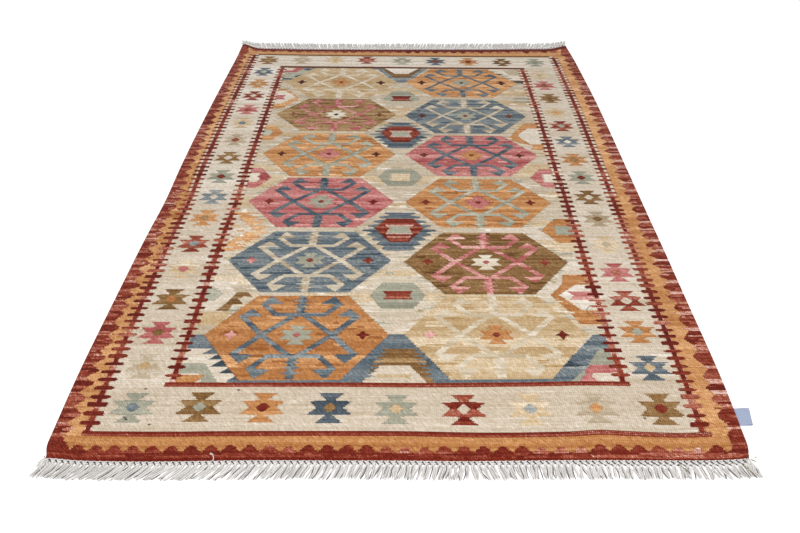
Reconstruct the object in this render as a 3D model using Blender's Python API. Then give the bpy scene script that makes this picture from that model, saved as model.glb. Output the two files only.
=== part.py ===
"""Flat-woven wool kilim, 1.70 m by 2.40 m, with a knotted warp fringe at both ends.

Metres, +Z up. The origin is the middle of the cloth's underside, +Y runs along the warp towards the
far end, and +X is to the right. The cloth lies on z = 0, apart from where its edges and far corners
lift. Four pieces: the cloth, the two fringes and a folded ribbon label on the right selvedge.
"""
import math
import random
from collections import namedtuple

import bmesh
import bpy
from mathutils import Vector

# The cloth
CLOTH_WIDTH = 1.704
CLOTH_LENGTH = 2.404
CLOTH_THICKNESS = 0.0042
ROWS = 36
ROW_CROWDING = 0.25

# The fringes: one lock of warp ends to each knot, fused at the root to a narrow knotted strip
GAP = 0.0004
LOCKS = 108
# Knots counted from a corner to each column line of the cloth's surface, up to its middle
COLUMN_KNOTS = (0, 1, 2, 3, 4, 6, 8, 11, 15, 20, 26, 33, 40, 47, 54)
STRIP_DEPTH = 0.005
STRIP_HEIGHT = 0.0042
KNOT_WIDTH = 0.0092
KNOT_HEIGHT = 0.0062
LOCK_WIDTH = 0.0070
LOCK_HEIGHT = 0.0040
NEAR_LOCK_LENGTH = 0.042
FAR_LOCK_LENGTH = 0.074
LENGTH_SPREAD = 0.10
TIP_SWAY = 0.0016
# A lock sets off straight from its knot and then leans over: power of its share along
LEAN_POWER = 1.25
# Share of the strip between two knots that a lock's root takes
ROOT_SHARE = 0.42

# The label: a ribbon folded on itself, its two ends sewn to the right selvedge
LABEL_MIDDLE = -1.0765
LABEL_LENGTH = 0.052
LABEL_REACH_NEAR = 0.031
LABEL_REACH_FAR = 0.039
LABEL_ROOT_HEIGHT = 0.0010
LABEL_THICKNESS = 0.0012
LABEL_FOLD_THICKNESS = 0.0028
LABEL_LIFT = 0.0012
LABEL_STEPS_OUT = 6
LABEL_STEPS_ALONG = 4

LEFT, RIGHT, NEAR, FAR = -1, 1, -1, 1

# How far a selvedge is drawn in towards the middle: deepest at one place, fading over a spread
Dip = namedtuple("Dip", "side y depth spread")
DIPS = (
    Dip(LEFT, -1.20, 0.012, 0.022),
    Dip(LEFT, -1.20, 0.010, 0.190),
    Dip(LEFT, -0.14, 0.006, 0.160),
    Dip(LEFT, 1.20, 0.010, 0.420),
    Dip(LEFT, 1.20, 0.006, 0.090),
    Dip(RIGHT, -1.20, 0.010, 0.022),
    Dip(RIGHT, -1.20, 0.011, 0.170),
    Dip(RIGHT, 1.20, 0.017, 0.420),
    Dip(RIGHT, 1.20, 0.014, 0.090),
)

# How far an end runs out past its straight line, as waves along it and as ears at the corners
Swell = namedtuple("Swell", "end x reach spread")
SWELLS = (
    Swell(NEAR, -0.852, -0.007, 0.060),
    Swell(NEAR, -0.600, 0.003, 0.160),
    Swell(NEAR, 0.160, 0.002, 0.120),
    Swell(NEAR, 0.852, -0.004, 0.060),
    Swell(FAR, -0.852, 0.038, 0.056),
    Swell(FAR, -0.720, 0.010, 0.200),
    Swell(FAR, 0.852, 0.031, 0.060),
    Swell(FAR, 0.700, 0.006, 0.200),
)
SWELL_FADE = 0.120

# Where the cloth stands off the floor: the far corners curl up, and the long edges ripple a little
Lift = namedtuple("Lift", "x y height spread_x spread_y")
LIFTS = (
    Lift(-0.852, 1.235, 0.0120, 0.075, 0.085),
    Lift(0.852, 1.220, 0.0075, 0.085, 0.085),
    Lift(-0.852, 0.330, 0.0014, 0.050, 0.160),
    Lift(0.852, -0.420, 0.0016, 0.055, 0.150),
    Lift(0.852, 0.620, 0.0012, 0.050, 0.140),
    Lift(-0.330, -1.200, 0.0012, 0.120, 0.045),
    Lift(0.460, -1.200, 0.0014, 0.110, 0.050),
)

# Sideways run of a lock's tip from its knot, by the knot's place along the end
Lean = namedtuple("Lean", "end x run")
LEANS = (
    Lean(NEAR, -0.852, -0.010),
    Lean(NEAR, -0.800, -0.024),
    Lean(NEAR, -0.700, -0.034),
    Lean(NEAR, -0.560, -0.036),
    Lean(NEAR, -0.340, -0.024),
    Lean(NEAR, -0.110, -0.012),
    Lean(NEAR, 0.160, -0.010),
    Lean(NEAR, 0.185, 0.018),
    Lean(NEAR, 0.330, 0.005),
    Lean(NEAR, 0.660, 0.002),
    Lean(NEAR, 0.760, 0.014),
    Lean(NEAR, 0.852, 0.008),
    Lean(FAR, -0.852, -0.024),
    Lean(FAR, -0.500, -0.018),
    Lean(FAR, -0.100, 0.002),
    Lean(FAR, 0.300, 0.018),
    Lean(FAR, 0.852, 0.014),
)

# Cross-sections along a lock, from the knot to the tip: share of its length, width and height
Section = namedtuple("Section", "share width height")
SECTIONS = (
    Section(0.10, KNOT_WIDTH, KNOT_HEIGHT),
    Section(0.24, LOCK_WIDTH * 0.78, LOCK_HEIGHT),
    Section(0.60, LOCK_WIDTH, LOCK_HEIGHT),
    Section(1.00, LOCK_WIDTH * 0.62, LOCK_HEIGHT * 0.6),
)

# Name, colour and roughness of each finish
Finish = namedtuple("Finish", "name colour roughness")
WOOL = Finish("woven_wool", (0.470, 0.250, 0.140), 0.95)
COTTON = Finish("cotton_warp", (0.760, 0.740, 0.690), 0.92)
RIBBON = Finish("woven_ribbon", (0.360, 0.470, 0.660), 0.70)


def fade(distance, spread):
    """A smooth hump: 1 at no distance, fading out past the spread."""
    return math.exp(-((distance / spread) ** 2))


def side_x(side, y):
    """The selvedge's place across the rug, at a place along it."""
    drawn_in = sum(dip.depth * fade(y - dip.y, dip.spread) for dip in DIPS if dip.side == side)
    return side * (CLOTH_WIDTH / 2 - drawn_in)


def swell_at(end, x):
    """How far the end runs out past its straight line, at a place across the rug."""
    return sum(swell.reach * fade(x - swell.x, swell.spread) for swell in SWELLS if swell.end == end)


def lift_at(x, y):
    """Height of the cloth's underside above the floor."""
    return sum(
        lift.height * fade(x - lift.x, lift.spread_x) * fade(y - lift.y, lift.spread_y)
        for lift in LIFTS
    )


def cloth_point(across, along):
    """Underside point of the cloth, from shares of half its width and half its length."""
    x_flat = across * CLOTH_WIDTH / 2
    y_flat = along * CLOTH_LENGTH / 2
    y = y_flat
    for end in (NEAR, FAR):
        y += end * swell_at(end, x_flat) * fade(end * CLOTH_LENGTH / 2 - y_flat, SWELL_FADE)
    left, right = side_x(LEFT, y_flat), side_x(RIGHT, y_flat)
    x = left + (right - left) * (across + 1) / 2
    return Vector((x, y, lift_at(x, y)))


def column_shares():
    """Column lines from -1 to 1 across the cloth, each at a knot, closer together at the corners."""
    left_half = [2 * knots / LOCKS - 1 for knots in COLUMN_KNOTS]
    return left_half + [-share for share in left_half[-2::-1]]


def row_shares():
    """Row lines from -1 to 1 along the cloth, closer together towards both ends."""
    steps = [2 * i / ROWS - 1 for i in range(ROWS + 1)]
    return [step + ROW_CROWDING * math.sin(math.pi * step) for step in steps]


def add_object(name, mesh_data, finish):
    """Make a bmesh a closed object, faces out, with its own Principled material."""
    bmesh.ops.recalc_face_normals(mesh_data, faces=mesh_data.faces)
    mesh = bpy.data.meshes.new(name)
    mesh_data.to_mesh(mesh)
    mesh_data.free()
    material = bpy.data.materials.new(finish.name)
    material.use_nodes = True
    shader = material.node_tree.nodes["Principled BSDF"]
    shader.inputs["Base Color"].default_value = (*finish.colour, 1.0)
    shader.inputs["Roughness"].default_value = finish.roughness
    shader.inputs["Metallic"].default_value = 0.0
    mesh.materials.append(material)
    piece = bpy.data.objects.new(name, mesh)
    bpy.context.scene.collection.objects.link(piece)
    return piece


def skin(mesh_data, rings):
    """Join matching rings of vertices with quads."""
    for ring, following in zip(rings, rings[1:]):
        for i in range(len(ring)):
            j = (i + 1) % len(ring)
            mesh_data.faces.new((ring[i], ring[j], following[j], following[i]))


def build_cloth():
    """The woven cloth: one slab of even thickness with the drawn-in outline and the lifted corners."""
    mesh_data = bmesh.new()
    up = Vector((0, 0, CLOTH_THICKNESS))
    places = [[cloth_point(across, along) for across in column_shares()] for along in row_shares()]
    lower = [[mesh_data.verts.new(place) for place in row] for row in places]
    upper = [[mesh_data.verts.new(place + up) for place in row] for row in places]
    for layer in (lower, upper):
        for row, following in zip(layer, layer[1:]):
            for i in range(len(row) - 1):
                mesh_data.faces.new((row[i], row[i + 1], following[i + 1], following[i]))
    rims = []
    for layer in (lower, upper):
        right_side = [row[-1] for row in layer[1:-1]]
        left_side = [row[0] for row in layer[-2:0:-1]]
        rims.append(layer[0] + right_side + layer[-1][::-1] + left_side)
    skin(mesh_data, rims)
    return add_object("cloth", mesh_data, WOOL)


def lean_at(end, x):
    """Sideways run of a lock's tip, read along the table of leans."""
    rows = [lean for lean in LEANS if lean.end == end]
    for before, after in zip(rows, rows[1:]):
        if x <= after.x:
            share = max(0.0, (x - before.x) / (after.x - before.x))
            return before.run + (after.run - before.run) * share
    return rows[-1].run


def build_fringe(name, end, lock_length, seed):
    """A knotted strip along one end of the cloth, and a three-sided lock of warp ends from each knot."""
    rng = random.Random(seed)
    mesh_data = bmesh.new()
    columns = [(across, cloth_point(across, end)) for across in column_shares()]
    front = GAP + STRIP_DEPTH

    def edge_point(knots, away, height):
        """A point beside the cloth's edge: knots from the left corner, how far away, and how high."""
        across = 2 * knots / LOCKS - 1
        for (here, place), (there, following) in zip(columns, columns[1:]):
            if across <= there:
                break
        point = place.lerp(following, (across - here) / (there - here))
        return point + Vector((0, end * away, height))

    def strip_ring(knots):
        """Cross-section of the strip: its two back corners, then its two front ones."""
        corners = ((GAP, 0.0), (GAP, STRIP_HEIGHT), (front, STRIP_HEIGHT), (front, 0.0))
        return [mesh_data.verts.new(edge_point(knots, *corner)) for corner in corners]

    def add_lock(start, root):
        """Carry a lock out from its triangle on the strip's front, level on the floor by its tip."""
        length = lock_length * rng.uniform(1 - LENGTH_SPREAD, 1 + LENGTH_SPREAD)
        run = lean_at(end, start.x)
        sway = rng.uniform(-TIP_SWAY, TIP_SWAY)
        rings = [root]
        for section in SECTIONS:
            share = section.share
            x = start.x + run * share ** LEAN_POWER + sway * math.sin(math.pi * share)
            y = start.y + end * length * share
            floor = start.z * (1 - share) ** 2
            half, top = section.width / 2, floor + section.height
            corners = ((x - half, floor), (x, top), (x + half, floor))
            rings.append([mesh_data.verts.new((corner, y, z)) for corner, z in corners])
        skin(mesh_data, rings)
        mesh_data.faces.new(rings[-1])

    ring = strip_ring(0)
    mesh_data.faces.new(ring)
    for i in range(LOCKS):
        foot_in = mesh_data.verts.new(edge_point(i + 0.5 - ROOT_SHARE / 2, front, 0.0))
        crown = mesh_data.verts.new(edge_point(i + 0.5, front, STRIP_HEIGHT))
        foot_out = mesh_data.verts.new(edge_point(i + 0.5 + ROOT_SHARE / 2, front, 0.0))
        back_low, back_high, front_high, front_low = ring
        ring = strip_ring(i + 1)
        next_back_low, next_back_high, next_high, next_low = ring
        mesh_data.faces.new((back_low, back_high, next_back_high, next_back_low))
        mesh_data.faces.new((back_high, front_high, crown, next_high, next_back_high))
        mesh_data.faces.new((back_low, front_low, foot_in, foot_out, next_low, next_back_low))
        mesh_data.faces.new((front_high, front_low, foot_in, crown))
        mesh_data.faces.new((crown, foot_out, next_low, next_high))
        add_lock(edge_point(i + 0.5, front, 0.0), [foot_in, crown, foot_out])
    mesh_data.faces.new(ring)
    return add_object(name, mesh_data, COTTON)


def build_label():
    """The folded ribbon: thin where it is sewn to the selvedge, fuller at its outer fold."""
    mesh_data = bmesh.new()
    lower, upper = [], []
    for i in range(LABEL_STEPS_ALONG + 1):
        share_along = i / LABEL_STEPS_ALONG
        y = LABEL_MIDDLE + (share_along - 0.5) * LABEL_LENGTH
        reach = LABEL_REACH_NEAR + (LABEL_REACH_FAR - LABEL_REACH_NEAR) * share_along
        under, over = [], []
        for j in range(LABEL_STEPS_OUT + 1):
            out = j / LABEL_STEPS_OUT
            x = side_x(RIGHT, y) + GAP + reach * out
            # The stitched root sits at the cloth's mid thickness, and the fold's near end stands up
            floor = LABEL_ROOT_HEIGHT * (1 - out) ** 3 + LABEL_LIFT * (1 - share_along) * out ** 2
            bulge = math.sin(math.pi * 0.75 * out) ** 2
            thick = LABEL_THICKNESS + (LABEL_FOLD_THICKNESS - LABEL_THICKNESS) * bulge
            under.append(mesh_data.verts.new((x, y, floor)))
            over.append(mesh_data.verts.new((x, y, floor + thick)))
        lower.append(under)
        upper.append(over)
    rings = [under + over[::-1] for under, over in zip(lower, upper)]
    skin(mesh_data, rings)
    for under, over in ((lower[0], upper[0]), (lower[-1], upper[-1])):
        for j in range(LABEL_STEPS_OUT):
            mesh_data.faces.new((under[j], under[j + 1], over[j + 1], over[j]))
    return add_object("label", mesh_data, RIBBON)


def main():
    """Clear the scene and build the four pieces."""
    for existing in list(bpy.data.objects):
        bpy.data.objects.remove(existing, do_unlink=True)
    build_cloth()
    build_fringe("fringe_near", NEAR, NEAR_LOCK_LENGTH, seed=11)
    build_fringe("fringe_far", FAR, FAR_LOCK_LENGTH, seed=23)
    build_label()


main()
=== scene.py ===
"""Looks of a flat-woven wool kilim, 1.70 m by 2.40 m, with its fringes, its side label and a plain studio.

The cloth is woven from a chart, as a weaver works: every stitch of the chart has a yarn and a skein of that
yarn, and the skeins differ a little in shade, which gives the rug its streaks.
"""
import itertools
import logging
import math
from collections.abc import Callable, Iterable, Sequence
from dataclasses import dataclass, field
from enum import Enum
from functools import partial

import bpy
import numpy as np
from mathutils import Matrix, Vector


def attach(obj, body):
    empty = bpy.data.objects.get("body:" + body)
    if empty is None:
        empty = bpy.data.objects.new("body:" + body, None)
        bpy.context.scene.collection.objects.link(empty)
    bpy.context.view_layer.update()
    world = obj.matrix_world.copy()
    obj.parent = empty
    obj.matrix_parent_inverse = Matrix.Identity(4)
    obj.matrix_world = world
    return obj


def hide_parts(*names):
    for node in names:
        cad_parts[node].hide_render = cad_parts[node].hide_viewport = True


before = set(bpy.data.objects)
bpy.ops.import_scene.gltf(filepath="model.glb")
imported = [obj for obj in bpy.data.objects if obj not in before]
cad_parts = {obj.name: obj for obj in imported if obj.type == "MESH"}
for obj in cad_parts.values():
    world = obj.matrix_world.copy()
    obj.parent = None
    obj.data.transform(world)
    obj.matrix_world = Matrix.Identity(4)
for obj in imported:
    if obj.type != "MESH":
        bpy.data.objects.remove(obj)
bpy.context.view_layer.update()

BODY = "root"

# The woven part's sizes, as in the solids
CLOTH_WIDTH = 1.704
CLOTH_LENGTH = 2.404
CLOTH_THICKNESS = 0.0042
KNOTS = 108

log = logging.getLogger("kilim")

Array = np.ndarray
Point = tuple[float, float]
Faces = list[tuple[int, ...]]
Tree, Socket = bpy.types.NodeTree, bpy.types.NodeSocket
Material, Mesh, Piece = bpy.types.Material, bpy.types.Mesh, bpy.types.Object


class Side(Enum):
    """A selvedge of the rug, and its sign along X."""

    LEFT = -1
    RIGHT = 1


class End(Enum):
    """An end of the rug, and its sign along Y."""

    NEAR = -1
    FAR = 1


LEFT, RIGHT = Side
NEAR, FAR = End

# ---------------- colours and nodes


def linear(shade: str) -> Array:
    """Turns an sRGB hex colour, "#rrggbb", to linear red, green and blue."""
    srgb = np.array([int(shade[i : i + 2], 16) for i in (1, 3, 5)]) / 255
    return np.where(srgb <= 0.04045, srgb / 12.92, ((srgb + 0.055) / 1.055) ** 2.4)


def paint(shade: str) -> tuple[float, float, float, float]:
    """A hex colour as a socket takes it."""
    return (*linear(shade), 1.0)


def feed(tree: Tree, node: bpy.types.Node, inputs: dict) -> None:
    """Sets a node's sockets, by name or number, to values or to the outputs that feed them."""
    for socket, value in inputs.items():
        if isinstance(value, Socket):
            tree.links.new(value, node.inputs[socket])
        else:
            node.inputs[socket].default_value = value


def add_node(tree: Tree, kind: str, inputs: Sequence | dict = (), output: int | str = 0, **settings: object) -> Socket:
    """Adds a node with its settings, its socket values and its links.

    Args:
        tree: The node tree of a material.
        kind: The node's type, after "ShaderNode".
        inputs: What its sockets hold or are fed by: in order, or by name or number.
        output: The output that is asked for.
        settings: Properties of the node.

    Returns:
        That output.
    """
    node = tree.nodes.new("ShaderNode" + kind)
    for name, value in settings.items():
        setattr(node, name, value)
    feed(tree, node, inputs if isinstance(inputs, dict) else dict(enumerate(inputs)))
    return node.outputs[output]


def ridges(tree: Tree, count: Socket) -> Socket:
    """Rounded ridges, one for each whole step of a count."""
    turns = add_node(tree, "Math", (count, math.pi), operation="MULTIPLY")
    return add_node(tree, "Math", [add_node(tree, "Math", [turns], operation="SINE")], operation="ABSOLUTE")


def map_places(tree: Tree, name: str) -> list[Socket]:
    """The two places on one of the mesh's own maps."""
    own = add_node(tree, "UVMap", uv_map=name)
    return list(add_node(tree, "SeparateXYZ", [own]).node.outputs)[:2]


def object_noise(tree: Tree, scale: float) -> Socket:
    """Fine noise fixed to the piece."""
    own = add_node(tree, "TexCoord", output="Object")
    return add_node(tree, "TexNoise", {"Vector": own, "Scale": scale, "Detail": 3.0})


def new_material(name: str) -> tuple[Material, Tree]:
    """Starts a material: gives it and its node tree."""
    material = bpy.data.materials.new(name)
    material.use_nodes = True
    return material, material.node_tree


def finish_material(tree: Tree, colour: Socket, bump: tuple, looks: dict) -> None:
    """Feeds the Principled shader.

    Args:
        tree: The material's node tree.
        colour: Its base colour.
        bump: Strength, distance and height of its relief, or nothing.
        looks: Constants of the shader, by socket.
    """
    if bump:
        relief = dict(zip(("Strength", "Distance", "Height"), bump))
        looks = {**looks, "Normal": add_node(tree, "Bump", relief)}
    feed(tree, tree.nodes["Principled BSDF"], {"Base Color": colour, **looks})


# ---------------- yarns


@dataclass(frozen=True)
class Dye:
    """A yarn's shade where the dye took fully and where it faded most."""

    full: str
    faded: str


class Yarn(Enum):
    """The wool yarns of the rug."""

    CREAM = Dye("#b39f84", "#fbf3ea")
    SAND = Dye("#a98658", "#f3e5d0")
    WHITE = Dye("#c5b396", "#fdf6ec")
    ORANGE = Dye("#955829", "#eab887")
    RED = Dye("#641608", "#d6a695")
    PINK = Dye("#97403f", "#e6b3a9")
    OLIVE = Dye("#5d3c19", "#bb9a70")
    BLUE = Dye("#44515c", "#b2b2aa")
    NAVY = Dye("#2c363f", "#8a9194")
    SAGE = Dye("#7f7e6c", "#c8c5b2")
    TAUPE = Dye("#9b8669", "#dacdb8")
    COAL = Dye("#2c221c", "#74675a")
    BROWN = Dye("#4c1c08", "#b98a6c")


YARNS = list(Yarn)
CREAM, SAND, WHITE, ORANGE, RED, PINK, OLIVE, BLUE, NAVY, SAGE, TAUPE, COAL, BROWN = YARNS


class Lots:
    """How a colour changes dye lot up the rug."""

    def __init__(self, shortest: float, longest: float, *fades: float) -> None:
        """Takes the shortest and the longest patch in millimetres, and how faded the lots are."""
        self.shortest, self.longest, self.fades = shortest / 1000, longest / 1000, fades


Look = float | Lots

COMB_LOTS = Lots(10, 50, -0.02, 0.05, 0.12, 0.2, 0.3, 0.42, 0.58, 0.78)
BODY_LOTS = Lots(8, 30, 0.36, 0.44, 0.5, 0.56, 0.64)
PALE_LOTS = Lots(8, 30, 0.4, 0.48, 0.56, 0.64, 0.72)
GROUND_LOTS = Lots(6, 40, 0.4, 0.48, 0.55, 0.62)
CREAM_LOTS = Lots(20, 80, 0.39, 0.42, 0.45)
ROSE_LOTS = Lots(8, 30, 0.54, 0.61, 0.68, 0.76, 0.84)


# ---------------- the cloth's shape


def mm(*places: float) -> tuple[Point, ...]:
    """Turns places in millimetres, X and Y in turn, to points in metres."""
    metres = [place / 1000 for place in places]
    return tuple(zip(metres[::2], metres[1::2]))


def fade(distance: Array, spread: float) -> Array:
    """A smooth hump: 1 at no distance, fading out past the spread."""
    return np.exp(-((distance / spread) ** 2))


def ramp(value: Array, start: float, stop: float) -> Array:
    """A smooth rise from 0 at the start to 1 at the stop."""
    share = np.clip((value - start) / (stop - start), 0, 1)
    return share * share * (3 - 2 * share)


@dataclass(frozen=True)
class Dip:
    """How far a selvedge is drawn in towards the middle at one place, fading over a spread."""

    side: Side
    y: float
    depth: float
    spread: float


@dataclass(frozen=True)
class Swell:
    """How far an end runs out past its straight line at one place, fading over a spread."""

    end: End
    x: float
    reach: float
    spread: float


@dataclass(frozen=True)
class Hump:
    """A smooth rise round one place: of the cloth off the floor, or of its wefts up the rug."""

    x: float
    y: float
    height: float
    spread_x: float
    spread_y: float


@dataclass(frozen=True)
class ClothShape:
    """The rug's outline and the way it lies, with the same values as the solids."""

    width: float = CLOTH_WIDTH
    length: float = CLOTH_LENGTH
    thickness: float = CLOTH_THICKNESS
    swell_fade: float = 0.12
    # How far the wefts drop for each metre to the right, at places from the near end
    slants: tuple[Point, ...] = (
        (0.2, 0.0), (0.6, 0.004), (0.95, 0.008), (1.2, 0.0135), (1.5, 0.0175), (2.2, 0.019),
        (2.32, 0.018), (2.4, 0.0),
    )
    dips: tuple[Dip, ...] = (
        Dip(LEFT, -1.2, 0.012, 0.022), Dip(LEFT, -1.2, 0.01, 0.19),
        Dip(LEFT, -0.14, 0.006, 0.16), Dip(LEFT, 1.2, 0.01, 0.42),
        Dip(LEFT, 1.2, 0.006, 0.09), Dip(RIGHT, -1.2, 0.01, 0.022),
        Dip(RIGHT, -1.2, 0.011, 0.17), Dip(RIGHT, 1.2, 0.017, 0.42),
        Dip(RIGHT, 1.2, 0.014, 0.09),
    )
    swells: tuple[Swell, ...] = (
        Swell(NEAR, -0.852, -0.007, 0.06), Swell(NEAR, -0.6, 0.003, 0.16),
        Swell(NEAR, 0.16, 0.002, 0.12), Swell(NEAR, 0.852, -0.004, 0.06),
        Swell(FAR, -0.852, 0.038, 0.056), Swell(FAR, -0.72, 0.01, 0.2),
        Swell(FAR, 0.852, 0.031, 0.06), Swell(FAR, 0.7, 0.006, 0.2),
    )
    lifts: tuple[Hump, ...] = (
        Hump(-0.852, 1.235, 0.012, 0.075, 0.085), Hump(0.852, 1.22, 0.0075, 0.085, 0.085),
        Hump(-0.852, 0.33, 0.0014, 0.05, 0.16), Hump(0.852, -0.42, 0.0016, 0.055, 0.15),
        Hump(0.852, 0.62, 0.0012, 0.05, 0.14), Hump(-0.33, -1.2, 0.0012, 0.12, 0.045),
        Hump(0.46, -1.2, 0.0014, 0.11, 0.05),
    )
    # Waves that the weaver left in the wefts near one end, at places from the near end
    waves: tuple[Hump, ...] = (
        Hump(0.27, 0.09, -0.0045, 0.17, 0.07), Hump(0.5, 0.09, 0.004, 0.05, 0.07),
        Hump(0.69, 0.09, -0.006, 0.09, 0.06), Hump(-0.45, 0.22, -0.0015, 0.2, 0.05),
        Hump(0.05, 0.22, -0.003, 0.2, 0.05), Hump(0.5, 0.22, 0.0035, 0.12, 0.05),
    )

    def side_x(self, side: Side, y: Array) -> Array:
        """The selvedge's place across the rug, at a place along it."""
        drawn_in = sum(dip.depth * fade(y - dip.y, dip.spread) for dip in self.dips if dip.side == side)
        return side.value * (self.width / 2 - drawn_in)

    def lift_at(self, x: Array, y: Array) -> Array:
        """Height of the cloth's underside above the floor."""
        return self.rise(self.lifts, x, y)

    @staticmethod
    def rise(humps: Iterable[Hump], x: Array, y: Array) -> Array:
        """The height of all the humps together at a place."""
        return sum(hump.height * fade(x - hump.x, hump.spread_x) * fade(y - hump.y, hump.spread_y) for hump in humps)

    def point(self, across: Array, along: Array) -> Array:
        """Finds points of the cloth's underside.

        Args:
            across: Shares of half the width, from -1 to 1.
            along: Shares of half the length, from -1 to 1.

        Returns:
            One row of X, Y and Z for each pair of shares.
        """
        x_flat, y_flat = across * self.width / 2, along * self.length / 2
        y = y_flat.copy()
        for swell in self.swells:
            sign = swell.end.value
            from_end = sign * self.length / 2 - y_flat
            y += sign * swell.reach * fade(x_flat - swell.x, swell.spread) * fade(from_end, self.swell_fade)
        left, right = self.side_x(LEFT, y_flat), self.side_x(RIGHT, y_flat)
        x = left + (right - left) * (across + 1) / 2
        return np.stack([x, y, self.lift_at(x, y)], axis=-1)

    def woven(self, across: Array, along: Array) -> Array:
        """The same for shares of the chart, whose wefts lie a little out of square."""
        from_near = (along + 1) * self.length / 2
        x = across * self.width / 2
        slope = -x * np.interp(from_near, *zip(*self.slants))
        return self.point(across, along + 2 * (slope + self.rise(self.waves, x, from_near)) / self.length)


# ---------------- the chart


class Chart:
    """The weaver's chart: for every stitch a yarn, and a skein of it with its own fading.

    Places are in metres on the flat rug: X from its middle line, Y from its near end.
    """

    slit_light: float = 0.72

    def __init__(self, width: float, length: float, stitch: float, seed: int) -> None:
        """Starts an all-cream chart of a size, with the side of a stitch and the seed of the dyer's luck."""
        self.width, self.stitch = width, stitch
        self.columns, self.rows = round(width / stitch), round(length / stitch)
        self.yarn = np.zeros((self.rows, self.columns), dtype=int)
        self.skein = self.yarn.copy()
        self.fades = [0.5]
        self.luck = np.random.default_rng(seed)

    def work(self, rows: slice, columns: slice, inside: Array, yarn: Yarn, faded: float) -> None:
        """Works the stitches inside one patch of rows and columns in a fresh skein, faded from 0 to 1."""
        self.yarn[rows, columns][inside] = YARNS.index(yarn)
        self.skein[rows, columns][inside] = len(self.fades)
        self.fades.append(faded)

    def fill(self, outline: Sequence[Point], yarn: Yarn, look: Look, step: int = 2) -> None:
        """Fills an outline, with its slanting edges in steps and dovetailed with what they meet.

        Args:
            outline: Its corners in order.
            yarn: The yarn to work with.
            look: How faded the skein is, or the dye lots to change between.
            step: Columns in a step of its edges.
        """
        xs, ys = zip(*outline)
        stitch, half_width = self.stitch, self.width / 2
        grain = step * stitch
        first_column = max(0, int((min(xs) + half_width) / grain) * step - step)
        last_column = min(self.columns, int((max(xs) + half_width) / grain) * step + 2 * step)
        first_row, last_row = max(0, int(min(ys) / stitch) - 1), min(self.rows, int(max(ys) / stitch) + 2)
        if first_column >= last_column or first_row >= last_row:
            return
        row_numbers = np.arange(first_row, last_row)[:, None]
        dovetail = 0.5 * (step - 1) * stitch * (row_numbers // 2 % 2 - 0.5)
        x = (np.arange(first_column, last_column) // step + 0.5) * grain - half_width + dovetail
        y = (row_numbers + 0.5) * stitch
        inside = np.zeros((last_row - first_row, last_column - first_column), dtype=bool)
        for (xa, ya), (xb, yb) in zip(outline, [*outline[1:], outline[0]]):
            if ya != yb:
                inside ^= ((ya > y) != (yb > y)) & (x < (xb - xa) * (y - ya) / (yb - ya) + xa)
        columns = slice(first_column, last_column)
        if not isinstance(look, Lots):
            self.work(slice(first_row, last_row), columns, inside, yarn, look)
            return
        row = first_row
        while row < last_row:
            tall = max(1, round(self.luck.uniform(look.shortest, look.longest) / stitch))
            stop = min(last_row, row + tall)
            lot = self.luck.choice(look.fades) + self.luck.normal(0, 0.04)
            self.work(slice(row, stop), columns, inside[row - first_row : stop - first_row], yarn, lot)
            row = stop

    def band(self, left: float, right: float, low: float, high: float, yarn: Yarn, look: Look) -> None:
        """Fills an upright rectangle."""
        self.fill([(left, low), (right, low), (right, high), (left, high)], yarn, look, 1)

    def spindle(self, x: float, levels: Iterable[Point], yarn: Yarn, look: Look, step: int = 2) -> None:
        """Fills a shape that is the same on both sides of an upright line.

        Args:
            x: The line's place.
            levels: Places up the line, each with the shape's half width there.
            yarn: The yarn to work with.
            look: How faded it is, as fill takes it.
            step: Columns in a step of its edges.
        """
        levels = list(levels)
        rising = [(x + half, y) for y, half in levels]
        self.fill(rising + [(x - half, y) for y, half in reversed(levels)], yarn, look, step)

    def slant(self, start: Point, stop: Point, width: float, yarn: Yarn, look: Look) -> None:
        """Draws a slanting line of one width across."""
        half = width / 2
        (xa, ya), (xb, yb) = start, stop
        self.fill([(xa - half, ya), (xa + half, ya), (xb + half, yb), (xb - half, yb)], yarn, look)

    def rework(
        self, box: tuple[float, float, float, float], yarn: Yarn | None, patches: int, fades: Sequence[float],
        fresh: Sequence[Yarn] = (), tallest: int = 6, widest: int = 16,
    ) -> None:
        """Works lozenges again in other skeins, only where a yarn already is.

        Args:
            box: Left, right, low and high limits of the lozenges' middles.
            yarn: The yarn that they stay on, or nothing for any.
            patches: How many lozenges to work.
            fades: How faded their skeins may be.
            fresh: Yarns to work them in, or nothing for the same yarn.
            tallest: Most rows in a lozenge.
            widest: Most columns from its middle to its end.
        """
        luck, (left, right, low, high) = self.luck, box
        for _ in range(patches):
            column = round((luck.uniform(left, right) + self.width / 2) / self.stitch)
            row = round(luck.uniform(low, high) / self.stitch)
            tall, half = int(luck.integers(1, tallest)), luck.uniform(3, widest)
            rows = slice(max(0, row), min(self.rows, row + tall))
            columns = slice(max(0, column - widest), min(self.columns, column + widest))
            near = np.abs(np.arange(columns.start, columns.stop) - column)
            inside = near < half * luck.uniform(0.55, 1.0, (rows.stop - rows.start, 1))
            if yarn is not None:
                inside = inside & (self.yarn[rows, columns] == YARNS.index(yarn))
            own = fresh[luck.integers(len(fresh))] if fresh else yarn
            self.work(rows, columns, inside, own, luck.choice(fades) + luck.normal(0, 0.04))

    def slits(self) -> Array:
        """The share of light that reaches each stitch: less beside the slits between two colours."""
        pale = {YARNS.index(yarn) for yarn in (CREAM, SAND, WHITE, TAUPE)}
        group = np.array([-1 if number in pale else number for number in range(len(YARNS))])[self.yarn]
        beside = group[:, 1:] != group[:, :-1]
        slit = np.zeros(self.yarn.shape, dtype=bool)
        slit[:, 1:] |= beside
        slit[:, :-1] |= beside
        slit &= (np.arange(self.rows)[:, None] % 4) < 2
        return np.where(slit, self.slit_light, 1.0)[..., None]

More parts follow.
